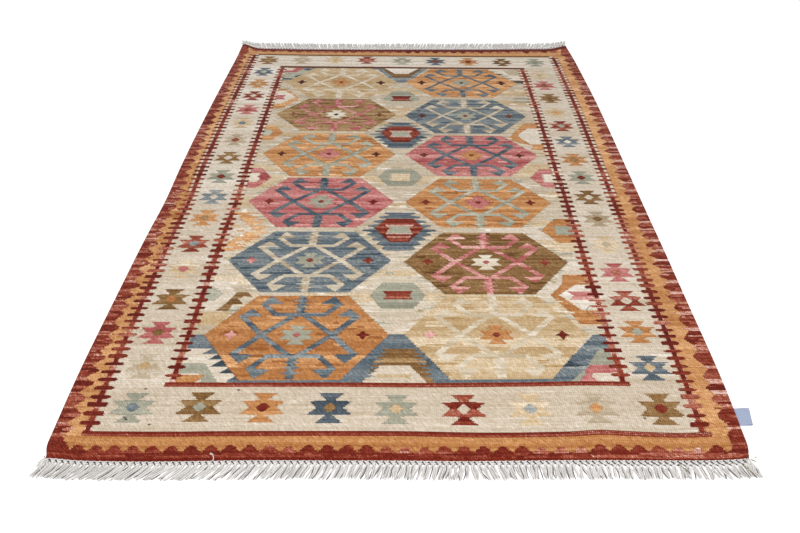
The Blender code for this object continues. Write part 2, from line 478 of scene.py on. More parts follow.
    def shades(self) -> Array:
        """Dyes the chart and paints shade on it: the linear colour of each stitch, by row and column."""
        luck, rows, columns = self.luck, np.arange(self.rows)[:, None], np.arange(self.columns)
        picks = luck.standard_normal((len(self.fades), self.rows))
        slow = sum(np.roll(picks, shift, axis=1) for shift in range(-3, 4)) / math.sqrt(7)
        picks = 0.7 * picks + 0.7 * slow
        streaks = luck.standard_normal((self.rows, self.columns))
        reach = 41
        runs = np.cumsum(np.pad(streaks, ((0, 0), (reach, reach)), mode="wrap"), axis=1)
        streaks = (runs[:, 2 * reach :] - runs[:, : -2 * reach]) / math.sqrt(2 * reach)
        # The beads of weft lean one way, so the grain runs a little down to the right
        loose = luck.standard_normal((self.rows + 2, self.columns + 2))
        grain = (loose[1:-1, 1:-1] + 0.4 * loose[2:, :-2] + 0.4 * loose[:-2, 2:]) / 1.15
        # Painted shade of the weave's relief: lighter and darker diagonals along the leaning beads, and every other
        # column lighter and the rest darker, as light and shade on the warp ribs
        slanting = np.sin((rows + columns) * 2 * math.pi / 2.6)
        ribs = np.where(columns % 2, 1.0, -1.0)
        faded = np.array(self.fades)[self.skein]
        # How much each unevenness changes a stitch: picks, streaks and grain by how faded its dye is, slant and rib as
        # painted shade of the weave's relief
        by_pick, by_streak, by_grain, by_slant_shade, by_rib_shade = 0.055, 0.05, 0.125, 0.05, 0.04
        faded += by_pick * picks[self.skein, rows]
        faded += by_streak * streaks
        faded += by_grain * grain + by_slant_shade * slanting + by_rib_shade * ribs
        faded = np.clip(faded, -0.25, 1.15)[..., None]
        full, pale = (
            np.array([linear(getattr(yarn.value, end)) for yarn in YARNS])[self.yarn] for end in ("full", "faded")
        )
        return np.clip(full ** (1 - faded) * pale**faded * self.slits(), 0.0, 1.0)


# ---------------- the pattern


@dataclass(frozen=True)
class Star:
    """A star of the border: its place, its yarn and the yarn of its heart, with how faded they are."""

    x: float
    y: float
    yarn: Yarn
    heart: Yarn
    faded: float
    heart_faded: float


@dataclass(frozen=True)
class Medallion:
    """A hexagon of the field, with the yarns of its body, hooks, star and heart."""

    x: float
    y: float
    half_height: float
    body: Yarn
    hooks: Yarn
    hooks_faded: float
    star: Yarn
    heart: Yarn
    eyes: tuple[float, float]
    lots: Lots


@dataclass
class Pattern:
    """Draws the rug's pattern on a chart, the field first and the borders over its edges."""

    chart: Chart
    half_width: float = 0.85
    length: float = 2.4
    # The inner red line round the field
    field_low: float = 0.2175
    field_high: float = 2.191
    line: float = 0.015
    comb_left: float = -0.594
    comb_right: float = 0.588
    comb_right_far: float = 0.572
    outer_comb_left: float = -0.766
    outer_comb_right: float = 0.752
    # The right column of stars drifts in: places along the rug, and its place across it there
    right_stars: tuple[tuple[float, ...], ...] = ((1.0, 1.1, 1.5, 2.12), (0.6715, 0.666, 0.661, 0.645))
    hexagon_half: float = 0.26
    hexagon_flat: float = 0.135
    rows: tuple[float, ...] = (0.406, 0.7275, 1.0575, 1.3785, 1.7015, 2.0175)
    columns: tuple[float, float] = (-0.292, 0.268)
    middle: float = -0.01
    knots: tuple[Point, ...] = mm(-8.5, 565.5, -10, 886.5, -11.5, 1213, -13, 1533, -14.5, 1855)

    def draw(self) -> None:
        """Works the whole rug."""
        self.draw_ground()
        self.draw_feathers()
        self.draw_side_figures()
        self.draw_corners()
        self.draw_end_figures()
        for number, (x, y) in enumerate(self.knots):
            if number % 2:
                self.draw_flame(x, y)
            else:
                self.draw_lozenge(x, y, number)
        for medallion in self.medallions():
            self.draw_medallion(medallion)
        self.draw_cream_border()
        self.draw_orange_border()
        self.draw_ends()
        self.draw_combs()
        for star in self.stars():
            self.draw_star(star)
        self.draw_flecks()

    # -------- the field

    def draw_ground(self) -> None:
        """The cream ground of the whole rug, in patches of sand and taupe inside the field."""
        chart = self.chart
        chart.band(-self.half_width, self.half_width, 0, self.length, CREAM, GROUND_LOTS)
        row, luck = self.field_low, chart.luck
        while row < self.field_high:
            tall = luck.uniform(0.015, 0.05)
            for left, right in mm(-600, -290, -290, 260, 260, 600):
                yarn = (CREAM, CREAM, SAND, TAUPE)[luck.integers(4)]
                faded = {CREAM: 0.45, SAND: 0.62, TAUPE: 0.82}[yarn] + (0.05 if row < 0.9 else -0.07)
                chart.band(left, right, row, row + tall, yarn, faded + luck.normal(0, 0.07))
            row += tall
        mottles = (SAND, TAUPE, WHITE, CREAM, TAUPE, SAGE)
        chart.rework((-0.6, 0.58, 0.235, 2.17), None, 900, (0.45, 0.55, 0.65, 0.78), mottles, 6, 14)

    def draw_feathers(self) -> None:
        """Rows of level darts along the slanting sides of the hexagons."""
        luck = self.chart.luck
        yarns = (TAUPE, TAUPE, SAND, SAGE, WHITE, CREAM)
        rises = np.arange(-0.15, 0.151, 0.0125)
        for row, column, side, rise in itertools.product(self.rows, self.columns, (-1, 1), rises):
            edge = self.hexagon_half - (self.hexagon_half - self.hexagon_flat) * abs(rise) / 0.158
            start, y = column + side * (edge - 0.01), row + rise
            reach = side * luck.uniform(0.025, 0.065)
            thick = luck.uniform(0.006, 0.012)
            yarn = yarns[luck.integers(len(yarns))]
            dart = [(start, y), (start + reach, y + thick * 0.3), (start, y + thick)]
            self.chart.fill(dart, yarn, luck.uniform(0.45, 0.8), step=1)

    def medallions(self) -> Iterable[Medallion]:
        """The twelve hexagons, from the near end to the far end."""
        # Their places and half heights in millimetres
        sand = Lots(6, 26, 0.34, 0.44, 0.54, 0.64)
        looks = (
            (-290, 402, 161, ORANGE, BLUE, 0.42, SAGE, PINK, (0.8, 0.1), BODY_LOTS),
            (272.5, 403.5, 160, SAND, WHITE, 0.28, ORANGE, RED, (0.9, 0.15), sand),
            (-291.5, 727.5, 149, BLUE, TAUPE, 0.7, SAGE, RED, (0.7, 0.35), BODY_LOTS),
            (269.5, 722, 152, OLIVE, PINK, 0.7, WHITE, PINK, (0.35, 0.45), BODY_LOTS),
            (-293, 1052, 153, PINK, BLUE, 0.22, SAGE, RED, (0.25, 0.15), PALE_LOTS),
            (266.5, 1052, 150, ORANGE, SAGE, 0.68, PINK, RED, (0.15, 0.05), PALE_LOTS),
            (-293, 1376, 160, ORANGE, SAGE, 0.6, PINK, RED, (0.1, 0.1), ROSE_LOTS),
            (266.5, 1374.5, 153, PINK, BLUE, 0.3, ORANGE, RED, (0.2, 0.25), PALE_LOTS),
            (-293, 1701.5, 146, OLIVE, PINK, 0.55, WHITE, COAL, (0.6, 0.5), ROSE_LOTS),
            (262, 1697.5, 152, BLUE, TAUPE, 0.75, SAGE, RED, (0.15, 0.4), BODY_LOTS),
            (-297.5, 2015, 155, SAND, WHITE, 0.42, ORANGE, RED, (0.05, 0.0), Lots(6, 26, 0.24, 0.34, 0.44, 0.54)),
            (265, 2020, 148, ORANGE, BLUE, 0.35, SAGE, BROWN, (0.05, 0.0), ROSE_LOTS),
        )
        for x, y, half_height, *look in looks:
            yield Medallion(x / 1000, y / 1000, half_height / 1000, *look)

    def draw_medallion(self, medallion: Medallion) -> None:
        """One hexagon with its hooks, its star and its two eyes."""
        chart = self.chart
        x, y, high = medallion.x, medallion.y, medallion.half_height
        levels = ((y - high, self.hexagon_flat), (y, self.hexagon_half), (y + high, self.hexagon_flat))
        chart.spindle(x, levels, medallion.body, medallion.lots)
        tall = high / 0.16
        field = (x - 0.22, x + 0.22, y - high, y + high)
        middling, pale = medallion.lots.fades[0], medallion.lots.fades[-1]
        change = 0.5 if medallion.body == SAND else 1.0
        chart.rework(field, medallion.body, 60, (middling - 0.2 * change, middling, pale + 0.12 * change))
        deep = (middling - 0.32 * change, middling - 0.2 * change)
        chart.rework(field, medallion.body, 30, deep, tallest=5, widest=26)
        if medallion.body == BLUE:
            for side, rise, share in itertools.product((-1, 1), (-1, 1), (0.1, 0.3, 0.5, 0.7, 0.9)):
                edge = x + side * (self.hexagon_flat + (self.hexagon_half - self.hexagon_flat) * share - 0.02)
                level = y + rise * high * (1 - share) * 0.96
                near = (edge - 0.012, edge + 0.012, level - 0.012, level + 0.006)
                chart.rework(near, medallion.body, 2, (middling - 0.36, middling - 0.26), tallest=5, widest=15)
        tone = medallion.hooks_faded
        dark = BROWN if y > 1.3 else RED
        thick = 0.023 if y < 1.5 else 0.019
        grown = 1.35 if y > 1.9 else 1.1
        hooks = (medallion.hooks, Lots(5, 20, tone - 0.3, tone - 0.12, tone, tone + 0.1, tone + 0.22))

        def place(dx: float, dy: float) -> Point:
            """A point of the hooks in one quarter, from the hexagon's middle."""
            return (x + side * dx, y + rise * dy * tall)

        # The crossbar, the tip and the stem of the hooks in one quarter
        patches = (
            mm(0, 72, 74, 72, 74, 87, 0, 87), mm(123, 120, 56, 126, 94, 158), mm(0, 86, 12, 86, 11, 159, 0, 159),
        )
        for side in (-1, 1):
            for rise in (-1, 1):
                chart.slant(place(0.104, -0.004), place(0.006, 0.084), thick, *hooks)
                chart.slant(place(0.096, -0.004), place(0.166, 0.072), thick, *hooks)
                chart.fill([place(0.18, 0.068), place(0.108, 0.074), place(0.143, 0.104)], *hooks)
                chart.slant(place(0.066, 0.074), place(0.112, 0.124), thick - 0.002, *hooks)
                for patch in patches:
                    chart.fill([place(*corner) for corner in patch], *hooks)
                for low in (0.097, 0.115, 0.133):
                    tip = place(0.026 + 0.15 * (low - 0.097), low + 0.004)
                    chart.fill([place(0, low), tip, place(0, low + 0.012)], *hooks)
            faded = medallion.eyes[side > 0]
            eye = mm(-16, 2, -6, 7, -2, 16.5, 2, 16.5, 6, 7, 15, 2)
            dye = PINK if faded > 0.65 else dark
            chart.spindle(x + side * 0.186, [(y + dy * grown, half * grown) for dy, half in eye], dye, faded, 1)
        chart.rework(field, medallion.hooks, 40, (tone - 0.3, tone - 0.15, tone + 0.2), tallest=5, widest=7)
        star = mm(-36, 26, -19, 12, -17, 50, 0, 32, 16, 48, 19, 12, 36, 24)
        chart.spindle(x, [(y + dy, half) for dy, half in star], medallion.star, 0.55, 1)
        chart.spindle(x, ((y - 0.009, 0.003), (y, 0.012), (y + 0.009, 0.003)), medallion.heart, 0.3, 1)

    def draw_lozenge(self, x: float, y: float, number: int) -> None:
        """A small grey-green hexagon between the two columns, with a red or a sand figure in it."""
        chart = self.chart
        levels = ((y - 0.058, 0.046), (y, 0.083), (y + 0.058, 0.046))
        if number == 4:
            levels = ((y - 0.02, 0.074), (y, 0.081), (y + 0.074, 0.036))
            chart.spindle(x, ((y - 0.04, 0.036), (y - 0.02, 0.052)), SAGE, 0.85)
        chart.spindle(x, levels, SAGE, Lots(8, 30, 0.34, 0.46, 0.58))
        if number == 2:
            chart.spindle(x, ((y - 0.026, 0.036), (y + 0.024, 0.036)), SAND, 0.66)
            return
        high = 0.024 if number == 4 else 0.019
        tie = ((y - high, 0.046), (y - 0.003, 0.035), (y + 0.003, 0.035), (y + high, 0.046))
        chart.spindle(x, tie, RED, Lots(4, 10, 0.1, 0.25, 0.45, 0.7), 1)

    def draw_flame(self, x: float, y: float) -> None:
        """A blue toothed flame round a red hexagon with a grey-green box."""
        chart = self.chart
        half_high, teeth = 0.11, 9
        levels = []
        for tooth in range(teeth):
            low = -half_high + 2 * half_high * tooth / teeth
            middle = low + half_high / teeth
            share = 1 - abs(middle) / half_high
            breadth = 0.034 + 0.062 * share
            reach = breadth + 0.012 + 0.018 * share
            levels += [(y + low, breadth - 0.008), (y + middle - 0.004, reach), (y + middle + 0.004, reach - 0.004)]
        chart.spindle(x, levels, BLUE, Lots(4, 12, 0.0, 0.12, 0.25, 0.4, 0.6), 1)
        body = ((y - 0.063, 0.032), (y + 0.008, 0.082), (y + 0.014, 0.082), (y + 0.066, 0.046))
        chart.spindle(x, body, RED, Lots(4, 10, 0.08, 0.18, 0.3, 0.48))
        if y < 1.2:
            pale = Lots(4, 8, 0.3, 0.6, 0.8)
            chart.spindle(x, ((y - 0.06, 0.028), (y - 0.024, 0.044)), RED, pale, 1)
        chart.spindle(x, ((y - 0.022, 0.046), (y + 0.01, 0.034), (y + 0.032, 0.05)), RED, 1.0, 1)
        chart.spindle(x, ((y - 0.016, 0.042), (y + 0.01, 0.03), (y + 0.024, 0.042)), SAGE, 0.6, 1)

    def draw_side_figures(self) -> None:
        """The half figures that stand against the two inner combs."""
        chart = self.chart
        left, right = self.comb_left, self.comb_right
        bow = Lots(6, 14, 0.35, 0.5, 0.65)
        # Against the left comb, from the near end
        chart.band(left, -0.53, 0.395, 0.45, TAUPE, 0.6)
        chart.fill(mm(-594, 440, -515, 440, -490, 495, -594, 495), SAND, 0.4)
        chart.spindle(left, mm(495, 45, 570, 103, 630, 60), CREAM, 0.62)
        chart.spindle(left, mm(540, 40, 570, 60, 600, 30), SAGE, 0.82)
        stem = mm(-540, 497, -516, 530, -494, 530, -503, 497)
        head = mm(-518, 524, -464, 526, -486, 550, -502, 556)
        crown = mm(-505, 548, -492, 578, -460, 578, -441, 553, -466, 561, -480, 550)
        for outline, faded in ((stem, 0.66), (head, 0.3), (crown, 0.56)):
            chart.fill(outline, OLIVE, Lots(3, 8, faded - 0.12, faded, faded + 0.15), 1)
        self.draw_darts(left, 0.772, 1.0, 0.056, 0.142, ORANGE, 0.8)
        chart.spindle(left, mm(815, 20, 893, 90, 965, 24), CREAM, 0.5)
        streaked = (SAND, CREAM, ORANGE, ORANGE)
        chart.rework((left, -0.46, 0.77, 1.0), ORANGE, 56, (0.6, 0.8), streaked, 4, 12)
        chart.rework((left, -0.48, 0.8, 0.98), CREAM, 30, (0.6, 0.8), streaked, 3, 9)
        chart.spindle(left, mm(1136, 55, 1203, 100, 1270, 55), PINK, bow)
        chart.spindle(left, mm(1176, 50, 1205, 62, 1235, 52), WHITE, 0.55)
        chart.spindle(-0.522, mm(1186, 5, 1211, 25, 1236, 3), PINK, 0.12, 1)
        chart.spindle(left, mm(1477, 58, 1539, 96, 1597, 56), ORANGE, ROSE_LOTS)
        chart.spindle(left, mm(1516, 42, 1545, 54, 1565, 42), SAGE, 0.85)
        self.draw_darts(left, 1.75, 1.958, 0.05, 0.13, ORANGE, 0.68)
        chart.rework((left, -0.46, 1.75, 1.96), ORANGE, 26, (0.6, 0.85), (SAND, CREAM, ORANGE), 5, 9)
        chart.spindle(left, mm(1798, 50, 1862, 104, 1922, 50), WHITE, 0.55)
        tie = mm(1838, 60, 1858, 46, 1880, 60)
        chart.spindle(left, tie, PINK, Lots(4, 10, 0.15, 0.35, 0.55), 1)
        # Against the right comb, from the near end
        orange = mm(445, 72, 490, 90, 568, 138, 616, 96, 662, 86)
        chart.spindle(right, orange, ORANGE, BODY_LOTS, 1)
        chart.rework((0.44, 0.58, 0.44, 0.67), ORANGE, 30, (0.6, 0.8), (SAND, ORANGE), 4, 8)
        chart.spindle(right, mm(503, 56, 568, 112, 616, 56), CREAM, 0.74)
        tie = mm(548, 84, 566, 68, 584, 84)
        chart.spindle(right, tie, PINK, Lots(4, 10, 0.45, 0.65, 0.85), 1)
        chart.spindle(right, mm(819, 68, 887, 121, 954, 68), ORANGE, BODY_LOTS)
        chart.spindle(right, mm(864, 74, 914, 74), SAGE, 0.5)
        chart.spindle(right, mm(1150, 72, 1214, 114, 1275, 72), PINK, bow)
        chart.spindle(right, mm(1184, 66, 1241, 66), WHITE, 0.55)
        arrow = mm(
            588, 1637, 508, 1634, 452, 1556, 444, 1534, 418, 1514, 442, 1508, 436, 1488, 492, 1462, 518, 1452,
            506, 1420, 588, 1416,
        )
        chart.fill(arrow, ORANGE, Lots(6, 20, 0.5, 0.6, 0.72), 1)
        chart.rework((0.42, 0.57, 1.41, 1.64), ORANGE, 24, (0.35, 0.6, 0.8), (SAND, ORANGE), 4, 8)
        hollow = mm(588, 1592, 512, 1592, 472, 1545, 466, 1528, 480, 1504, 508, 1463, 588, 1463)
        chart.fill(hollow, CREAM, 0.62, 1)
        for low, reach in mm(1826, 98, 1856, 92):
            bar = [(right - reach - 0.01, low), (right, low), (right, low + 0.013), (right - reach, low + 0.013)]
            chart.fill(bar, SAGE, 0.42, 1)

    def draw_darts(
        self, x: float, low: float, high: float, least: float, most: float, yarn: Yarn, faded: float
    ) -> None:
        """A figure with stepped, pointed sides, widest at its middle."""
        levels = []
        teeth = round((high - low) / 0.028)
        for tooth in range(teeth):
            at = (tooth + 0.5) / teeth
            half = least + (most - least) * (1 - abs(2 * at - 1))
            base = low + (high - low) * tooth / teeth
            levels += [(base, half - 0.016), (base + (high - low) / teeth * 0.5, half + 0.01)]
        self.chart.spindle(x, levels, yarn, Lots(10, 40, faded - 0.1, faded, faded + 0.12), step=1)

    def draw_corners(self) -> None:
        """What fills the field's four corners."""
        chart = self.chart
        # Near left: a blue block with darts stepping down, a grey-green and an orange block
        chart.band(self.comb_left, -0.42, 0.232, 0.349, CREAM, 0.6)
        chart.fill(mm(-594, 350, -505, 350, -550, 403, -594, 403), BLUE, 0.48)
        darts = ((-538, 331, 0.7), (-519, 309, 0.3), (-507, 286, 0.2), (-480, 262, 0.3), (-454, 236, 0.45))
        for across, up, faded in darts:
            tip, low = across / 1000, up / 1000
            dart = [(tip, low), (tip + 0.075, low), (tip + 0.05, low + 0.026), (tip + 0.03, low + 0.025)]
            chart.fill(dart, NAVY, faded, 1)
        chart.fill(mm(-594, 262, -530, 262, -518, 232, -474, 232, -525, 297, -594, 297), SAGE, 0.5)
        chart.fill(mm(-594, 232, -535, 232, -514, 257, -594, 257), ORANGE, 0.5)
        # Near right: a broad blue slant, a grey-green band and pink figures
        slant = mm(390, 232, 452, 232, 500, 280, 545, 346, 600, 350, 600, 410, 545, 405)
        chart.fill(mm(440, 232, 600, 232, 600, 352, 500, 352), SAGE, 0.5)
        chart.fill(slant, BLUE, Lots(4, 14, 0.25, 0.4, 0.5, 0.65))
        for start, stop, low, yarn, faded in (
            (0.44, 0.498, 0.284, NAVY, 0.2), (0.455, 0.512, 0.304, BLUE, 0.2), (0.49, 0.54, 0.326, BLUE, 0.5),
            (0.42, 0.47, 0.262, BLUE, 0.6),
        ):
            chart.fill([(start, low), (stop, low + 0.003), (start + 0.014, low + 0.026)], yarn, faded, 1)
        chart.band(0.5, 0.6, 0.232, 0.268, CREAM, 0.55)
        tie = mm(
            476, 232, 524, 232, 509, 250, 516, 262, 560, 262, 600, 270, 600, 293, 516, 293, 494, 270, 499, 258,
            485, 246,
        )
        chart.fill(tie, PINK, Lots(4, 12, 0.45, 0.55, 0.65), 1)
        # Far left: pink, and a grey-blue slant
        slant = mm(-437, 2177, -497, 2177, -594, 2078, -594, 2035, -545, 2028, -497, 2072)
        chart.fill(slant, SAGE, 0.72)
        chart.rework((-0.59, -0.45, 2.04, 2.17), SAGE, 16, (0.4, 0.6, 0.9), (BLUE, SAGE), 5, 9)
        chart.fill(mm(-470, 2142, -450, 2152, -470, 2164, -500, 2152), NAVY, 0.45)
        chart.fill(mm(-497, 2098, -523, 2082, -530, 2070, -505, 2070), NAVY, 0.35)
        chart.fill(mm(-594, 2040, -535, 2040, -520, 2052, -594, 2056), NAVY, 0.35)
        chart.fill(mm(-594, 2120, -527, 2120, -482, 2176, -594, 2176), PINK, 0.45)
        chart.fill(mm(-594, 2140, -548, 2140, -532, 2166, -594, 2176), WHITE, 0.45)
        # Far right: pale steps and slate darts
        chart.fill(mm(405, 2176, 500, 2046, 600, 2046, 600, 2176), WHITE, 0.55)
        chart.fill(mm(475, 2160, 560, 2172, 560, 2100, 500, 2108), TAUPE, 0.6)
        for edge, tip, low, yarn, faded in (
            (0.4, 0.452, 2.134, SAGE, 0.5), (0.415, 0.474, 2.106, COAL, 0.4),
            (0.44, 0.502, 2.086, SAGE, 0.6), (0.465, 0.512, 2.06, SAGE, 0.35),
        ):
            dart = [(edge, low - 0.008), (tip, low + 0.008), (tip - 0.006, low + 0.014), (edge, low + 0.022)]
            chart.fill(dart, yarn, faded, 1)
        chart.fill(mm(495, 2050, 600, 2052, 600, 2012, 525, 2018), COAL, 0.7)

    def draw_end_figures(self) -> None:
        """The stacked trapezoids in the middle of the field's two ends."""
        chart = self.chart
        middle = self.middle + 0.012
        low = self.field_low + self.line
        near = [(-0.165, low), (-0.032, 0.405), (0.014, 0.405), (0.145, low)]
        chart.fill(near, BLUE, Lots(6, 20, 0.28, 0.36, 0.44, 0.52))
        chart.spindle(middle, ((low, 0.088), (0.295, 0.075), (0.351, 0.044)), OLIVE, Lots(6, 20, 0.45, 0.62, 0.8))
        chart.spindle(middle - 0.014, ((low, 0.086), (0.247, 0.076), (0.29, 0.04)), CREAM, 0.48)
        chart.band(-0.06, 0.03, 0.249, 0.259, SAND, 0.4)
        for rise in np.arange(0.25, 0.35, 0.014):
            edge = 0.088 - 0.4 * (rise - 0.25)
            for side in (-1, 1):
                dart = [(middle + side * edge, rise), (middle + side * (edge - 0.025), rise + 0.004)]
                dart.append((middle + side * edge, rise + 0.009))
                chart.fill(dart, BLUE, 0.45, 1)
        high = self.field_high - self.line
        middle = self.middle - 0.0055
        far = ((2.018, 0.014), (2.062, 0.056), (high, 0.124))
        chart.spindle(middle, far, BLUE, Lots(6, 20, 0.3, 0.45, 0.6, 0.75))
        chart.rework((-0.13, 0.1, 2.02, 2.16), BLUE, 16, (0.0, 0.15, 0.9), (BLUE, NAVY), 5, 8)
        chart.spindle(middle, ((2.07, 0.034), (2.112, 0.062), (high, 0.098)), OLIVE, Lots(6, 20, 0.2, 0.35, 0.5))
        chart.spindle(middle, ((2.113, 0.032), (high - 0.002, 0.084)), CREAM, 0.75)
        # Thin blue wefts along the two long lines, above the near one and under the far one
        for left, right in mm(-450, -100, 95, 455):
            chart.band(left, right, low, low + 0.01, BLUE, 0.45)
        chart.band(-0.5, -0.11, high - 0.014, high, BLUE, 0.5)

    # -------- the borders

    def draw_cream_border(self) -> None:
        """The cream band with its inner red line, over the edges of the field."""
        chart = self.chart
        inner_left, inner_right = -0.612, 0.604
        high = self.field_high
        chart.band(self.outer_comb_left, inner_left + 0.018, 0.08, 2.3125, CREAM, CREAM_LOTS)
        right_edge = [(inner_right - 0.021, 0.08), (0.76, 0.08), (0.76, 2.3125), (self.comb_right_far, 2.3125)]
        chart.fill(right_edge, CREAM, Lots(20, 80, 0.46, 0.49, 0.52), 1)
        chart.band(-0.775, 0.765, 0.08, self.field_low, CREAM, CREAM_LOTS)
        # The cream lots get paler towards the far end
        for low, top, faded in ((1.04, 1.8, 0.6), (1.8, high, 0.72)):
            lots = Lots(20, 80, faded - 0.03, faded, faded + 0.03)
            chart.band(self.outer_comb_left, inner_left + 0.018, low, top, CREAM, lots)
        chart.band(-0.775, 0.765, high, 2.3125, CREAM, Lots(20, 80, 0.64, 0.68, 0.72))
        chart.rework((-0.76, 0.75, 0.08, 0.21), CREAM, 60, (0.36, 0.44, 0.54))
        chart.rework((-0.74, -0.62, 0.21, 1.04), CREAM, 40, (0.3, 0.4, 0.5))
        chart.rework((-0.74, -0.62, 1.04, 2.3), CREAM, 50, (0.5, 0.6, 0.7))
        chart.rework((0.61, 0.73, 0.21, 2.3), CREAM, 90, (0.4, 0.48, 0.62))
        for low, top, faded in ((0, 0.005, 0.42), (0.005, 0.0075, 0.66), (0.0075, self.line, 0.3)):
            chart.band(inner_left, inner_right, self.field_low + low, self.field_low + top, RED, faded)
        self.draw_dashes(inner_left, inner_right, self.field_low + 0.0052, 0.62, 0.3)
        chart.band(inner_left, self.comb_right_far + 0.012, high - 0.018, high - 0.002, BROWN, 0.2)

    def draw_orange_border(self) -> None:
        """The orange band down both sides, with the toothed dark red selvedge bands."""
        chart = self.chart
        for low, high, added in ((0.02, 1.3, 0.0), (1.3, 2.38, 0.14)):
            lots = Lots(8, 50, 0.56 + added, 0.62 + added, 0.7 + added, 0.78 + added)
            chart.band(-self.half_width, self.outer_comb_left, low, high, ORANGE, lots)
            chart.band(self.outer_comb_right, self.half_width, low, high, ORANGE, lots)
        near = {
            LEFT: (0.04, 0.086, 0.127, 0.175, 0.225, 0.272, 0.318, 0.378, 0.43, 0.482, 0.52, 0.562, 0.608),
            RIGHT: (0.05, 0.124, 0.18, 0.215, 0.248, 0.32, 0.39, 0.466, 0.518, 0.556, 0.604),
        }
        for side, tips in near.items():
            tips = [*tips, *np.arange(0.658, 2.36, 0.0505)]
            for number, tip in enumerate(tips):
                low = (tips[number - 1] + tip) / 2 if number else 0.0
                high = (tip + tips[number + 1]) / 2 if number + 1 < len(tips) else self.length
                self.draw_tooth(side, low, tip + chart.luck.uniform(-0.005, 0.005), high)

    def draw_tooth(self, side: Side, low: float, tip: float, high: float) -> None:
        """One tooth of a selvedge band, from low to high, with the faded wefts at its foot."""
        chart, luck = self.chart, self.chart.luck
        sign = side.value
        edge, valley = sign * (self.half_width + 0.01), sign * (0.826 + luck.uniform(-0.004, 0.004))
        apex = sign * (0.799 + luck.uniform(-0.005, 0.007))
        corners = [(edge, low), (valley, low), (apex, tip - 0.003), (apex, tip + 0.003), (valley, high), (edge, high)]
        tone = luck.choice((0.14, 0.2, 0.28, 0.4))
        chart.fill(corners, RED, Lots(5, 14, tone - 0.05, tone, tone + 0.1, tone + 0.22))
        chart.rework((*sorted((apex, edge)), low, high), RED, 5, (0.1, 0.6, 0.75))
        lines = luck.integers(1, 4) if side == LEFT else luck.integers(3, 7)
        pale = (0.5, 0.62, 0.74, 0.88) if side == LEFT else (0.45, 0.78, 0.9, 1.02)
        y = low - 0.0015 * lines
        for faded in luck.choice(pale, lines):
            thick = luck.choice((0.0025, 0.0025, 0.005))
            reach = sign * luck.uniform(0.8, 0.83)
            bounds = sorted((reach, sign * self.half_width))
            chart.band(*bounds, y, y + thick, RED, faded)
            y += thick

    def draw_ends(self) -> None:
        """The red, toothed and orange bands across both ends, and the red lines beside them."""
        chart = self.chart
        lots = Lots(5, 12, 0.38, 0.46, 0.55)
        chart.band(-0.815, 0.812, 0.02, 0.0655, ORANGE, lots)
        chart.band(-0.805, 0.8, 2.325, 2.376, ORANGE, Lots(5, 12, 0.6, 0.68, 0.76))
        for side, top in ((-1, 0.058), (1, 0.038)):
            corner = [(0.86, 0.018), (0.785, 0.018), (0.8, top - 0.022), (0.822, top), (0.86, top)]
            chart.fill([(side * x, y) for x, y in corner], RED, Lots(4, 10, 0.15, 0.25, 0.4))
        for low, high, faded in ((0, 4, 0.14), (4, 10.5, 0.38), (10.5, 13, 0.46), (13, 20.5, 0.14)):
            chart.band(-self.half_width, self.half_width, low / 1000, high / 1000, RED, faded)
        chart.rework((-0.85, 0.4, 0.004, 0.013), RED, 90, (0.12, 0.2, 0.45))
        chart.band(0.4, self.half_width - 0.02, 0.003, 0.013, RED, 0.56)
        chart.rework((0.42, 0.83, 0.003, 0.013), RED, 30, (0.4, 0.55, 0.75))
        chart.band(0.5, 0.79, 0.0205, 0.023, RED, 0.7)
        chart.band(-self.half_width, self.half_width, 2.374, 2.4, RED, Lots(4, 10, -0.1, 0.0, 0.12))
        # How faded each tooth of the near band is: deep, middling, pale or white
        tones, pitch = {"d": 0.19, "m": 0.4, "p": 0.62, "w": 0.85}, 0.0471
        for number, tone in enumerate("ddmmddddddmpddddpppmmdddppwmddmpwd"):
            faded = tones[tone]
            x = -0.7806 + pitch * number + max(0.0, 0.007 - 0.0023 * number)
            tall = 0.0405 if faded < 0.5 else 0.036
            foot = 0.0238 if faded < 0.5 else 0.018
            rise = ((0.018, foot), (0.0235, foot - 0.003), (tall - 0.003, 0.0075), (tall, 0.003))
            chart.spindle(x, rise, RED, Lots(4, 10, faded - 0.08, faded, faded + 0.1))
            far_shade = chart.luck.choice((0.0, 0.2, 0.45, 0.7))
            tip = 2.3515 + chart.luck.uniform(0, 0.01)
            chart.spindle(x, ((tip, 0.002), (tip + 0.003, 0.006), (2.3755, 0.0225)), RED, far_shade)
        for low, high, faded in ((0.0655, 0.07, 0.3), (0.07, 0.0726, 0.68), (0.0726, 0.0805, 0.22)):
            chart.band(-0.778, 0.772, low, high, RED, faded)
        chart.band(-0.778, -0.745, 0.0655, 0.073, RED, 0.65)
        self.draw_dashes(-0.745, 0.3, 0.07, 0.55, 0.3)
        self.draw_dashes(0.3, 0.772, 0.07, 0.85, 0.45)
        self.draw_dashes(0.43, 0.772, 0.075, 0.8, 0.35)
        chart.band(-0.75, 0.735, 2.3125, 2.325, OLIVE, 0.1)

    def draw_dashes(self, left: float, right: float, y: float, faded: float, between: float) -> None:
        """A line of single stitches in two shades of red."""
        for dash in np.arange(left, right, 0.005):
            self.chart.band(dash, dash + 0.0025, y, y + 0.0025, RED, faded)
            self.chart.band(dash + 0.0025, dash + 0.005, y, y + 0.0025, RED, between)

    def draw_combs(self) -> None:
        """The four red combs, two on each side."""
        low, high = self.field_low + self.line, self.field_high - 0.018
        inner, outer = (low, high), (0.08, 2.313)
        self.draw_comb(self.comb_left, self.comb_left - 0.004, *inner, -0.026, 0.022, 0.0287)
        self.draw_comb(self.comb_right, self.comb_right_far, *inner, -0.025, 0.024, 0.0287)
        self.draw_comb(self.outer_comb_left, self.outer_comb_left, *outer, -0.027, 0.025, 0.0272)
        self.draw_comb(self.outer_comb_right, self.outer_comb_right, *outer, -0.026, 0.023, 0.0268)

